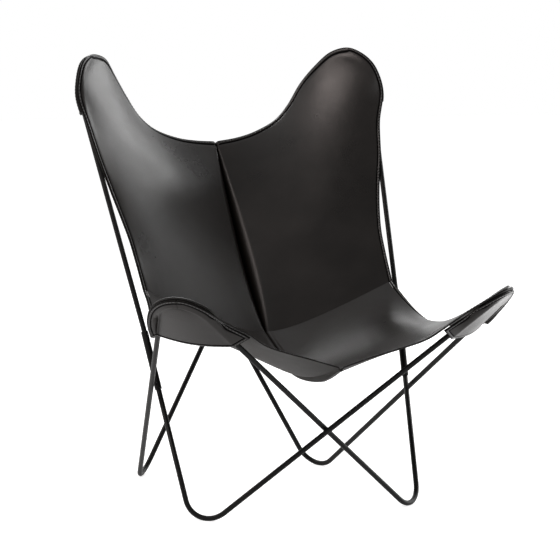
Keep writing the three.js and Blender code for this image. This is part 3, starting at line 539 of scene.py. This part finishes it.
# Meshes
def new_object(name, points, faces, materials, indices=None, painted_shade=None):
    mesh = bpy.data.meshes.new(name)
    mesh.from_pydata((np.asarray(points) * MM).tolist(), [], faces)
    for material in materials:
        mesh.materials.append(material)
    if indices is not None:
        mesh.polygons.foreach_set("material_index", indices)
    mesh.polygons.foreach_set("use_smooth", [True] * len(mesh.polygons))
    # Painted shade, one value a point, for the leather's material.
    if painted_shade is not None:
        mesh.attributes.new("painted_shade", "FLOAT", "POINT").data.foreach_set("value", painted_shade)
    mesh.update()
    return add_object(name, mesh)


def slab(name, grid, normals, drop, dark):
    """Closed sheet of leather round a middle surface, with a cut edge of its own material, and
    painted shade on its top and its cut edge.
    """
    rows, columns = grid.shape[:2]
    top = grid + normals * (HALF - drop)[..., None]
    under = grid - normals * HALF
    layer = rows * columns
    index = np.arange(layer).reshape(rows, columns)
    a, b, c, d = (index[:-1, :-1], index[:-1, 1:], index[1:, 1:], index[1:, :-1])
    quads = np.stack([a, b, c, d], -1).reshape(-1, 4).tolist()
    faces = quads + [[corner + layer for corner in reversed(quad)] for quad in quads]
    kinds = [0] * len(quads) + [1] * len(quads)
    ring = list(index[0, :-1]) + list(index[:-1, -1]) + list(index[-1, :0:-1]) \
        + list(index[:0:-1, 0])
    rim_top = np.vstack([top.reshape(-1, 3)[r] for r in ring])
    rim_under = np.vstack([under.reshape(-1, 3)[r] for r in ring])
    points = np.vstack([top.reshape(-1, 3), under.reshape(-1, 3), rim_top, rim_under])
    base = 2 * layer
    count = len(ring)
    for k in range(count):
        n = (k + 1) % count
        faces.append([base + k, base + count + k, base + count + n, base + n])
        kinds.append(2)
    # Painted shade: all of it on the top, none on the underside, a share of it on the cut edge.
    dark = dark.ravel()
    around = dark[ring] * CUT_EDGE_PAINTED_SHADE
    painted_shades = np.concatenate([dark, dark * 0, around, around])
    return new_object(name, points + SHIFT, faces, [hide, flesh, cut_edge], kinds, painted_shades)


def ring_faces(rings, sides, base=0):
    """Faces between rings of points that follow one another."""
    return [[base + k * sides + s, base + k * sides + (s + 1) % sides,
             base + (k + 1) * sides + (s + 1) % sides, base + (k + 1) * sides + s]
            for k in range(rings - 1) for s in range(sides)]


def tube_faces(rings, sides, base=0):
    """The same with both ends closed."""
    first = [base + s for s in range(sides)][::-1]
    last = [base + (rings - 1) * sides + s for s in range(sides)]
    return ring_faces(rings, sides, base) + [first, last]


def tube(name, stations, floor=None):
    points = []
    side = unit(np.cross(stations[0][1], SKEW))
    angles = np.linspace(0, 2 * math.pi, ROD_SIDES, endpoint=False)
    for point, tangent in stations:
        side = unit(side - tangent * (side @ tangent))
        other = np.cross(tangent, side)
        ring = point + BAR * (np.cos(angles)[:, None] * side + np.sin(angles)[:, None] * other)
        points.append(ring)
    points = np.vstack(points) + SHIFT
    if floor is not None:
        points[:, 2] = np.maximum(points[:, 2], floor)
    return new_object(name, points, tube_faces(len(stations), ROD_SIDES), [steel])


# Materials
def material(name, build):
    m = bpy.data.materials.new(name)
    m.use_nodes = True
    tree = m.node_tree
    shader = tree.nodes["Principled BSDF"]
    build(tree, shader)
    return m


def node(tree, kind, inputs=(), **settings):
    n = tree.nodes.new(kind)
    for key, value in settings.items():
        setattr(n, key, value)
    for key, value in dict(inputs).items():
        if isinstance(value, bpy.types.NodeSocket):
            tree.links.new(value, n.inputs[key])
        else:
            n.inputs[key].default_value = value
    return n


def ramp(tree, factor, stops):
    n = tree.nodes.new("ShaderNodeValToRGB")
    tree.links.new(factor, n.inputs["Fac"])
    while len(n.color_ramp.elements) < len(stops):
        n.color_ramp.elements.new(0.5)
    for element, (place, colour) in zip(n.color_ramp.elements, stops):
        element.position = place
        element.color = (*colour, 1)
    return n.outputs["Color"]


GRAIN = 0.12


def leather(dark, light, roughness, specular=0.36):
    """Grained leather, darkened and dulled by painted shade where its painted shade attribute is
    high.
    """
    def build(tree, shader):
        place = node(tree, "ShaderNodeTexCoord").outputs["Object"]
        cloud = node(tree, "ShaderNodeTexNoise", {"Vector": place, "Scale": 7.0, "Detail": 4.0,
                                                   "Roughness": 0.55}).outputs["Fac"]
        colour = ramp(tree, cloud, [(0.32, dark), (0.72, light)])
        cells = node(tree, "ShaderNodeTexVoronoi", {"Vector": place, "Scale": 520.0},
                     feature="DISTANCE_TO_EDGE").outputs["Distance"]
        pebble = node(tree, "ShaderNodeMapRange", {"Value": cells, "From Min": 0.0,
                                                    "From Max": 0.22}).outputs["Result"]
        pores = node(tree, "ShaderNodeTexNoise", {"Vector": place, "Scale": 900.0,
                                                   "Detail": 3.0}).outputs["Fac"]
        height = node(tree, "ShaderNodeMath", {0: pebble, 1: pores}, operation="ADD")
        bump = node(tree, "ShaderNodeBump", {"Height": height.outputs[0], "Strength": GRAIN,
                                              "Distance": 0.00035})
        waves = node(tree, "ShaderNodeTexNoise", {"Vector": place, "Scale": 16.0, "Detail": 2.0})
        soft = node(tree, "ShaderNodeBump", {"Height": waves.outputs["Fac"], "Strength": 0.12,
                                              "Distance": 0.004, "Normal": bump.outputs["Normal"]})
        gloss = node(tree, "ShaderNodeMapRange", {"Value": cloud, "From Min": 0.3, "From Max": 0.7,
                                                   "To Min": roughness - 0.05,
                                                   "To Max": roughness + 0.07})
        # Painted shade darkens the colour and dims the gloss.
        painted_shade = node(tree, "ShaderNodeAttribute", attribute_name="painted_shade").outputs["Fac"]
        dim = node(tree, "ShaderNodeMapRange", {"Value": painted_shade, "To Min": 1.0, "To Max": 0.03})
        tone = node(tree, "ShaderNodeVectorMath", {0: colour}, operation="SCALE")
        tree.links.new(dim.outputs["Result"], tone.inputs["Scale"])
        shine = node(tree, "ShaderNodeMath", {0: dim.outputs["Result"], 1: specular},
                     operation="MULTIPLY")
        tree.links.new(tone.outputs[0], shader.inputs["Base Color"])
        tree.links.new(gloss.outputs["Result"], shader.inputs["Roughness"])
        tree.links.new(soft.outputs["Normal"], shader.inputs["Normal"])
        tree.links.new(shine.outputs[0], shader.inputs["Specular IOR Level"])
    return build


def coated_steel(tree, shader):
    place = node(tree, "ShaderNodeTexCoord").outputs["Object"]
    fine = node(tree, "ShaderNodeTexNoise", {"Vector": place, "Scale": 1400.0, "Detail": 2.0})
    broad = node(tree, "ShaderNodeTexNoise", {"Vector": place, "Scale": 12.0, "Detail": 3.0})
    colour = ramp(tree, broad.outputs["Fac"], [(0.3, (0.003, 0.003, 0.003)),
                                               (0.75, (0.006, 0.006, 0.006))])
    bump = node(tree, "ShaderNodeBump", {"Height": fine.outputs["Fac"], "Strength": 0.2,
                                          "Distance": 0.0002})
    gloss = node(tree, "ShaderNodeMapRange", {"Value": broad.outputs["Fac"], "To Min": 0.36,
                                               "To Max": 0.5})
    tree.links.new(colour, shader.inputs["Base Color"])
    tree.links.new(gloss.outputs["Result"], shader.inputs["Roughness"])
    tree.links.new(bump.outputs["Normal"], shader.inputs["Normal"])
    shader.inputs["Specular IOR Level"].default_value = 0.18


def thread(dark, light):
    """Twisted thread between two greys."""
    def build(tree, shader):
        place = node(tree, "ShaderNodeTexCoord").outputs["Object"]
        twist = node(tree, "ShaderNodeTexWave", {"Vector": place, "Scale": 420.0,
                                                  "Distortion": 2.0})
        colour = ramp(tree, twist.outputs["Fac"], [(0.2, (dark, dark, dark)),
                                                   (0.8, (light, light, light))])
        bump = node(tree, "ShaderNodeBump", {"Height": twist.outputs["Fac"], "Strength": 0.5,
                                              "Distance": 0.0003})
        tree.links.new(colour, shader.inputs["Base Color"])
        tree.links.new(bump.outputs["Normal"], shader.inputs["Normal"])
        shader.inputs["Roughness"].default_value = 0.6
    return build


hide = material("sling_hide",
                leather((0.0095, 0.0078, 0.0070), (0.0150, 0.0122, 0.0108), 0.31))
flesh = material("sling_underside",
                 leather((0.020, 0.018, 0.0165), (0.032, 0.029, 0.027), 0.6, specular=0.2))
cut_edge = material("sling_cut_edge",
                    leather((0.012, 0.011, 0.010), (0.022, 0.020, 0.018), 0.5))
steel = material("frame_coated_steel", coated_steel)
sewing = material("sling_thread", thread(0.07, 0.17))
tacking = material("sling_tack_thread", thread(0.45, 0.8))


# Pieces
stitch_points = {LEFT: [], RIGHT: []}
tack_points = {LEFT: [], RIGHT: []}


def ride(obj, slot, *nodes):
    if nodes:
        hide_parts(*nodes)
    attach(obj, "root")


def leather_piece(piece, grid, normals, sign, drop, dark):
    """Sheet of the sling with its painted shade (dark), its columns in the order that turns its
    faces outwards.
    """
    order = slice(None, None, sign)
    obj = slab(f"{piece}_leather", grid[:, order], normals[:, order], drop[:, order],
               dark[:, order])
    ride(obj, "sling_leather", piece)


def at_middle(normals):
    return normals[len(normals) // 2, normals.shape[1] // 2]


# Stitches
SEWN = 3  # the row of the hem that the stitches lie in
STITCH_PITCH, STITCH_LENGTH = 7.6, 5.2
TACK_COLUMNS, TACK_ROWS = (3, 8), 5
TACK_PITCH, TACK_LENGTH = 4.2, 3.9
THREAD_SIDES, THREAD_HALF_WIDTH, THREAD_HALF_HEIGHT = 6, 0.62, 0.45
# Thickness of a stitch: share of the way along it, share of its full size.
THREAD_SIZES = ((0, 0.35), (0.2, 0.85), (0.5, 1.0), (0.8, 0.85), (1, 0.35))
STITCH_ARCH, STITCH_SINK, STITCH_PROUD = 0.15, 0.1, 0.05


def stitch_height(step):
    """Height over the leather's middle at which a thread lies on a row of the hem."""
    return HALF - HEM[step][DEEP] + STITCH_PROUD


def stitch_run(stitches, line, normals, pitch=STITCH_PITCH, length=STITCH_LENGTH):
    """Adds stitches along a line on the leather: (start, end, surface normal) each."""
    walk = walk_along(line)
    for k in range(int((walk[-1] - length) // pitch)):
        s = pitch / 2 + k * pitch
        normal = unit(read_at(s + length / 2, walk, normals))
        stitches.append((read_at(s, walk, line), read_at(s + length, walk, line), normal))


def stitch_mesh(name, stitches, thread_material):
    points, faces = [], []
    for a, b, n in stitches:
        across = np.cross(n, unit(b - a))
        faces += tube_faces(len(THREAD_SIZES), THREAD_SIDES, len(points))
        for t, size in THREAD_SIZES:
            centre = lerp(a, b, t) + n * (STITCH_ARCH * math.sin(math.pi * t) - STITCH_SINK)
            for c in range(THREAD_SIDES):
                angle = 2 * math.pi * c / THREAD_SIDES
                points.append(centre + across * math.cos(angle) * THREAD_HALF_WIDTH * size
                              + n * math.sin(angle) * THREAD_HALF_HEIGHT * size)
    return new_object(name, np.array(points) + SHIFT, faces, [thread_material])


def panel_stitches(side, grid, normals):
    rows, columns = grid.shape[:2]
    row = rows - 1 - SEWN
    column = columns - 1 - SEWN
    top = grid + normals * stitch_height(SEWN)
    stitch_run(stitch_points[side], top[:row, column], normals[:row, column])
    stitch_run(stitch_points[side], top[row, FOLD_COLUMNS:column],
               normals[row, FOLD_COLUMNS:column])


def pocket_stitches(side, grid, normals):
    top = grid + normals * stitch_height(SEWN)
    inset = HEM[SEWN][0]
    for column, towards in ((0, 1), (-1, -2)):
        step = unit(top[:, towards] - top[:, column])
        stitch_run(stitch_points[side], top[:, column] + step * inset, normals[:, column])
    step = unit(top[-2] - top[-1])
    stitch_run(stitch_points[side], (top[-1] + step * inset)[SEWN:-SEWN],
               normals[-1][SEWN:-SEWN])


def bar_tack(side, grid, normals):
    """Two short rows of close stitches that hold the end of the crease seam."""
    for inwards in TACK_COLUMNS:
        column = grid.shape[1] - 1 - inwards
        line = (grid + normals * stitch_height(inwards))[:TACK_ROWS, column]
        stitch_run(tack_points[side], line, normals[:TACK_ROWS, column], TACK_PITCH, TACK_LENGTH)


# Pockets
POCKET_ROWS, POCKET_COLUMNS = 30, 14
POCKET_START, MOUTH_HEM = 0.4, 12
POCKET_CROWD = 1.15  # over 1 it draws a pocket's rows together at the horn's tip
WRAP_STEPS, WRAP_LEAST = 8, 0.15  # columns round the bar, and their least angle
HEM_ROW_SHARE = 0.1  # how much of a pocket's width beside the bar a hem row may take


def pocket_half(point, outward, stations, horn):
    """Places across a pocket, from its seam at a free edge to behind the bar beside it."""
    foot, tangent, _gap = (found[0] for found in nearest_on(point[None], stations))
    behind = -horn["face"]
    behind = unit(behind - tangent * (behind @ tangent))
    out = unit(np.cross(tangent, behind))
    if out @ outward < 0:
        out = -out
    seam = point + behind * (PITCH + CLEARANCE) - out * HALF
    spoke = seam - foot
    span = math.hypot(spoke @ out, spoke @ behind)
    meets = math.atan2(spoke @ behind, spoke @ out) + math.acos(min(1, POCKET_WRAP / span))
    angles = np.linspace(min(meets, math.pi / 2 - WRAP_LEAST), math.pi / 2, WRAP_STEPS)
    bent = [foot + out * POCKET_WRAP * math.cos(a) + behind * POCKET_WRAP * math.sin(a)
            for a in angles]
    reach = np.linalg.norm(bent[0] - seam)
    near = [lerp(seam, bent[0], min(HEM_ROW_SHARE * k, far / reach))
            for k, far in enumerate(HEM_STEPS, 1)]
    return [seam, *near, *bent]


def pocket_grid(edge, depth, longer, stations, horn):
    """Rows of a pocket from the horn's tip to its mouth, each from one free edge to the other."""
    rim, tip = edge
    rows = []
    body = [lerp(POCKET_START, depth - MOUTH_HEM, (k / POCKET_ROWS) ** POCKET_CROWD)
            for k in range(POCKET_ROWS + 1)]
    for away in body + [depth - far for far in reversed(HEM_STEPS)] + [depth]:
        share = away / depth
        halves = []
        for way in (-1, 1):
            point = rim.at(tip + way * away * (longer if way > 0 else 1) / rim.length)
            outward = horn["outward"] * -way + horn["reach"] * (1 - share)
            halves.append(pocket_half(point, outward, stations, horn))
        start, end = halves[0][-1], halves[1][-1]
        flat = [lerp(start, end, s) - horn["face"] * POCKET_SAG * math.sin(math.pi * s) * share
                for s in np.linspace(0, 1, POCKET_COLUMNS)[1:-1]]
        rows.append(halves[0] + flat + halves[1][::-1])
    return np.array(rows)


def pocket(piece, side, edge, depth, longer, stations, horn):
    grid = pocket_grid(edge, depth, longer, stations, horn)
    if at_middle(grid_normals(grid)) @ horn["face"] > 0:
        grid = grid[:, ::-1]
    normals = grid_normals(grid)
    # The hem's depth, and its painted shade.
    leather_piece(piece, grid, normals, 1, hem_values(grid, DEEP, both_sides=True),
                  hem_values(grid, PAINTED_SHADE, both_sides=True))
    pocket_stitches(side, grid, normals)


# Panels
# Painted shade inside the centre fold, darkest at the seam and fading out towards the panel, for
# each kind of panel.
FOLD_PAINTED_SHADE = {"back_panel": 0.95, "seat_panel": 0.6}
FADE_POWER = 0.6


def back_outline(side, corner, loop, horn):
    """Free edge of a back panel from crease to centre seam, and the tip's share of it."""
    run = loop["foot"] - loop["kink"]
    beside = []
    for place, inset, forward in BACK_SIDE:
        z = lerp(corner[2], horn["centre"][2], place)
        point = loop["kink"] + run * (z - loop["kink"][2]) / run[2]
        beside.append(point + vec(-side * inset * SIDE_INSET, -forward * SIDE_INSET, 0))
    outer = [tongue_point(horn, *s) for s in BACK_TONGUE[side]]
    tip = tongue_point(horn, BACK_REACH[side] / TONGUE_HALF, 0)
    inner = [tongue_point(horn, *s) for s in BACK_INNER[side]]
    top = edge_along(SEAM_TOP, inner[-1], TOP_EDGE[side], vec(0, 1, 0))
    rim = Rim([corner, *beside, *outer, tip, *inner, *top[::-1], SEAM_TOP])
    return rim, rim.share_of(1 + len(beside) + len(outer))


def seat_outline(side, corner, horn):
    """Free edge of a seat panel from crease to centre seam, and the tip's share of it."""
    outer = [tongue_point(horn, *s) for s in SEAT_TONGUE[side]]
    tip = tongue_point(horn, SEAT_REACH[side] / TONGUE_HALF, 0, SEAT_TIP_LIFT[side])
    inner = [tongue_point(horn, *s) for s in SEAT_INNER[side]]
    beside = edge_along(corner, outer[0], SEAT_SIDE, vec(side, 0, 0))
    front = edge_along(SEAM_END, inner[-1], FRONT_EDGE, vec(0, 1, 0))
    rim = Rim([corner, *beside, *outer, tip, *inner, *front[::-1], SEAM_END])
    return rim, rim.share_of(1 + len(beside) + len(outer))


def crease_curve(side, corner):
    """Gives the function that lays a number of points along the seam of back and seat."""
    start = MIDDLE.copy()
    start[0] = seam_x(back_fold(0), side)
    near = lerp(start, corner, CREASE_NEAR)
    near[2] = start[2]
    far = lerp(start, corner, 0.5) + vec(0, 0, -CREASE_DIP)
    t = np.linspace(0, 1, CREASE_SAMPLES)[:, None]
    curve = start * (1 - t) ** 3 + 3 * near * t * (1 - t) ** 2 + 3 * far * t * t * (1 - t) \
        + corner * t ** 3
    walk = walk_along(curve)

    def crease_line(count):
        return read_at(np.linspace(0, walk[-1], count), walk, curve)
    return crease_line


def panel_surface(side, seam_at, crease_line, edge, stations, horn, fold_at, hint, belly):
    """Grid of a panel with hem and fold, its outward normals, and the sign that they took."""
    grid = fill_panel(seam_at, crease_line, *edge, stations, horn["face"], belly)
    grid = add_fold(add_hem(grid), side, fold_at, len(grid) - 1)
    normals = grid_normals(grid)
    sign = 1 if at_middle(normals) @ hint > 0 else -1
    return grid, normals * sign, sign


def mitre_crease(back, seat):
    """Gives the crease rows of two panels one mitred direction, and sets them a hair apart."""
    back_grid, back_normals, _sign = back
    seat_grid, seat_normals, _sign = seat
    total = back_normals[0] + seat_normals[0]
    mitre = total / (1 + (back_normals[0] * seat_normals[0]).sum(1))[:, None]
    mitre = unit(mitre) * np.minimum(np.linalg.norm(mitre, axis=1), MITRE_MOST)[:, None]
    back_normals[0] = mitre
    seat_normals[0] = mitre
    across = unit(np.cross(np.gradient(back_grid[0], axis=0), unit(mitre)))
    across *= np.where(across @ vec(0, 1, 1) < 0, -1, 1)[:, None]
    back_grid[0] += across * CREASE_GAP
    seat_grid[0] -= across * CREASE_GAP


def panel(kind, side_name, side, surface):
    grid, normals, sign = surface
    # Painted shade: the hem's, and inside the centre fold, darkest at the seam and fading out.
    dark = hem_values(grid, PAINTED_SHADE)
    fade = np.concatenate([[1, 1], np.linspace(1, 0, FOLD_STEPS) ** FADE_POWER])
    dark[:, :FOLD_COLUMNS] = fade[None] * FOLD_PAINTED_SHADE[kind]
    leather_piece(f"{kind}_{side_name}", grid, normals, sign, hem_values(grid, DEEP), dark)
    panel_stitches(side, grid, normals)


def build_side(side_name, side):
    own, other = loops[side], loops[-side]
    back_horn = horn_frame(own["top"], own["foot"], own["heel"], REAR_R, vec(0, -1, 0))
    seat_horn = horn_frame(other["horn"], other["rear"], other["front"], FRONT_R, vec(0, 0, 1))
    corner = at(CREASE_END, side, 0)
    crease_line = crease_curve(side, corner)
    back_edge = back_outline(side, corner, own, back_horn)
    seat_edge = seat_outline(side, corner, seat_horn)
    keel = Rim([MIDDLE, *[lerp(MIDDLE, SEAM_END, p) + vec(0, 0, -s * KEEL_SAG) for p, s in KEEL],
                SEAM_END])

    def back_seam(count):
        return seam_line([lerp(MIDDLE, SEAM_TOP, v) for v in np.linspace(0, 1, count)],
                         back_fold, side)

    def seat_seam(count):
        return seam_line([keel.at(v) for v in np.linspace(0, 1, count)], seat_fold, side)

    back_rod, seat_rod = bars[side][0], bars[-side][1]
    back = panel_surface(side, back_seam, crease_line, back_edge, back_rod, back_horn, back_fold,
                         vec(0, -1, 1), 0)
    seat = panel_surface(side, seat_seam, crease_line, seat_edge, seat_rod, seat_horn, seat_fold,
                         vec(0, 0, 1), SEAT_BELLY)
    mitre_crease(back, seat)
    panel("back_panel", side_name, side, back)
    panel("seat_panel", side_name, side, seat)
    bar_tack(side, seat[0], seat[1])
    pocket(f"back_pocket_{side_name}", side, back_edge, BACK_POCKET, 1, back_rod, back_horn)
    pocket(f"seat_pocket_{side_name}", side, seat_edge, SEAT_POCKET, INNER_LONGER, seat_rod,
           seat_horn)


# Frame
def small_weld(name, cad):
    """A weld bead smaller than the one it replaces, with the same middle."""
    corners = np.array([cad.matrix_world @ v.co for v in cad.data.vertices]) / MM
    low, high = corners.min(0), corners.max(0)
    rings, sides = WELD_RINGS, WELD_SIDES
    points = []
    for k in range(1, rings):
        rise = math.pi * k / rings
        for s in range(sides):
            turn = 2 * math.pi * s / sides
            points.append([math.sin(rise) * math.cos(turn), math.cos(rise),
                           math.sin(rise) * math.sin(turn)])
    points += [[0, 1, 0], [0, -1, 0]]
    points = (low + high) / 2 + np.array(points) * (high - low) / 2 * WELD_SHARE
    top, bottom, base = (rings - 1) * sides, (rings - 1) * sides + 1, (rings - 2) * sides
    faces = ring_faces(rings - 1, sides)
    faces += [[top, (s + 1) % sides, s] for s in range(sides)]
    faces += [[bottom, base + s, base + (s + 1) % sides] for s in range(sides)]
    ride(new_object(f"{name}_bead", points, faces, [steel]), "frame_steel", name)


build_side("left", LEFT)
build_side("right", RIGHT)
for side_name, side in (("left", LEFT), ("right", RIGHT)):
    ride(stitch_mesh(f"stitching_{side_name}", stitch_points[side], sewing), "sling_leather")
    ride(stitch_mesh(f"bar_tacks_{side_name}", tack_points[side], tacking), "sling_leather")
    upper, lower = bars[side]
    ride(tube(f"back_rod_{side_name}", upper), "frame_steel", f"back_bar_{side_name}")
    ride(tube(f"base_rod_{side_name}", lower, floor=0), "frame_steel", f"base_bar_{side_name}")

for name, obj in list(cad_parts.items()):
    if "weld" in name:
        small_weld(name, obj)
    elif "sleeve" in name:
        obj.data.materials.clear()
        obj.data.materials.append(steel)


# Studio
WORLD_LEVEL = 0.45
ROOM_GLOSS = 0.23  # strength of the room in front, as glossy surfaces show it
FLOOR_HALF = 14.0  # metres
FLOOR_COLOUR = (0.85, 0.85, 0.85, 1)
FLOOR_GLOW, FLOOR_GLOW_SEEN = 0.38, 0.66
WHITE = (1, 1, 1)
AIM = (0, 0.1, 0.75)
# Name, place, target and size in metres, watts, colour
LAMPS = (("window_right", (3.06, 1.03, 2.15), AIM, (1.9, 1.1), 42, WHITE),
         ("window_left", (-2.64, 0.0, 3.1), AIM, (1.0, 1.0), 38, (1.0, 0.88, 0.84)),
         ("window_back", (0.2, 3.2, 2.7), AIM, (2.4, 0.8), 44, WHITE),
         ("low_card", (0.95, -0.2, 0.04), (0.36, -0.4, 0.5), (0.7, 0.7), 4.2, WHITE),
         ("front_fill", (-1.2, -3.6, 2.6), AIM, (2.4, 1.6), 22, WHITE))


def area_light(name, place, target, size, power, colour):
    data = bpy.data.lights.new(name, "AREA")
    data.shape = "RECTANGLE"
    data.size, data.size_y = size
    data.energy = power
    data.color = colour
    back = unit(np.array(place, float) - np.array(target, float))
    right = unit(np.cross(vec(0, 0, 1), back))
    lamp = aim_object(name, data, right, np.cross(back, right), back, place)
    lamp.visible_camera = False


def make_world():
    world = bpy.data.worlds.new("studio")
    bpy.context.scene.world = world
    world.use_nodes = True
    tree = world.node_tree
    tree.nodes.clear()
    path = node(tree, "ShaderNodeLightPath")
    seen = node(tree, "ShaderNodeMath", {0: path.outputs["Is Camera Ray"],
                                          1: path.outputs["Is Transmission Ray"]},
                operation="MAXIMUM")
    # Gloss shows the white backdrop behind the chair, and a darker room in front and above.
    direction = node(tree, "ShaderNodeTexCoord").outputs["Generated"]
    parts = node(tree, "ShaderNodeSeparateXYZ", {0: direction})
    behind = node(tree, "ShaderNodeMapRange", {"Value": parts.outputs["Y"], "From Min": -0.2,
                                                "From Max": 0.2})
    low = node(tree, "ShaderNodeMapRange", {"Value": parts.outputs["Z"], "From Min": 0.25,
                                             "From Max": 0.6, "To Min": 1.0, "To Max": 0.5})
    backdrop = node(tree, "ShaderNodeMath", {0: behind.outputs["Result"],
                                              1: low.outputs["Result"]}, operation="MULTIPLY")
    room = node(tree, "ShaderNodeMapRange", {"Value": backdrop.outputs[0], "To Min": ROOM_GLOSS,
                                              "To Max": 1.0})
    plain = node(tree, "ShaderNodeBackground", {"Color": (*WHITE, 1), "Strength": WORLD_LEVEL})
    mirrored = node(tree, "ShaderNodeBackground", {"Color": (*WHITE, 1)})
    tree.links.new(room.outputs["Result"], mirrored.inputs["Strength"])
    white = node(tree, "ShaderNodeBackground", {"Color": (*WHITE, 1), "Strength": 1.0})
    gloss = node(tree, "ShaderNodeMixShader", {0: path.outputs["Is Glossy Ray"]})
    tree.links.new(plain.outputs[0], gloss.inputs[1])
    tree.links.new(mirrored.outputs[0], gloss.inputs[2])
    mix = node(tree, "ShaderNodeMixShader", {0: seen.outputs[0]})
    tree.links.new(gloss.outputs[0], mix.inputs[1])
    tree.links.new(white.outputs[0], mix.inputs[2])
    out = node(tree, "ShaderNodeOutputWorld")
    tree.links.new(mix.outputs[0], out.inputs["Surface"])


def make_floor():
    size = FLOOR_HALF
    mesh = bpy.data.meshes.new("floor")
    mesh.from_pydata([(-size, -size, 0), (size, -size, 0), (size, size, 0), (-size, size, 0)], [],
                     [(0, 1, 2, 3)])
    floor = add_object("floor", mesh)
    m = bpy.data.materials.new("studio_floor")
    m.use_nodes = True
    tree = m.node_tree
    tree.nodes.clear()
    path = node(tree, "ShaderNodeLightPath")
    seen = node(tree, "ShaderNodeMath", {0: path.outputs["Is Camera Ray"],
                                          1: path.outputs["Is Glossy Ray"]}, operation="MAXIMUM")
    diffuse = node(tree, "ShaderNodeBsdfDiffuse", {"Color": FLOOR_COLOUR})
    strength = node(tree, "ShaderNodeMapRange", {"Value": path.outputs["Is Camera Ray"],
                                                  "To Min": FLOOR_GLOW,
                                                  "To Max": FLOOR_GLOW_SEEN})
    glow = node(tree, "ShaderNodeEmission", {"Color": (*WHITE, 1),
                                              "Strength": strength.outputs["Result"]})
    both = node(tree, "ShaderNodeAddShader")
    tree.links.new(diffuse.outputs[0], both.inputs[0])
    tree.links.new(glow.outputs[0], both.inputs[1])
    mix = node(tree, "ShaderNodeMixShader", {0: seen.outputs[0]})
    tree.links.new(diffuse.outputs[0], mix.inputs[1])
    tree.links.new(both.outputs[0], mix.inputs[2])
    out = node(tree, "ShaderNodeOutputMaterial")
    tree.links.new(mix.outputs[0], out.inputs["Surface"])
    mesh.materials.append(m)


make_world()
make_floor()
for lamp in LAMPS:
    area_light(*lamp)
bpy.context.scene.view_settings.view_transform = "Standard"
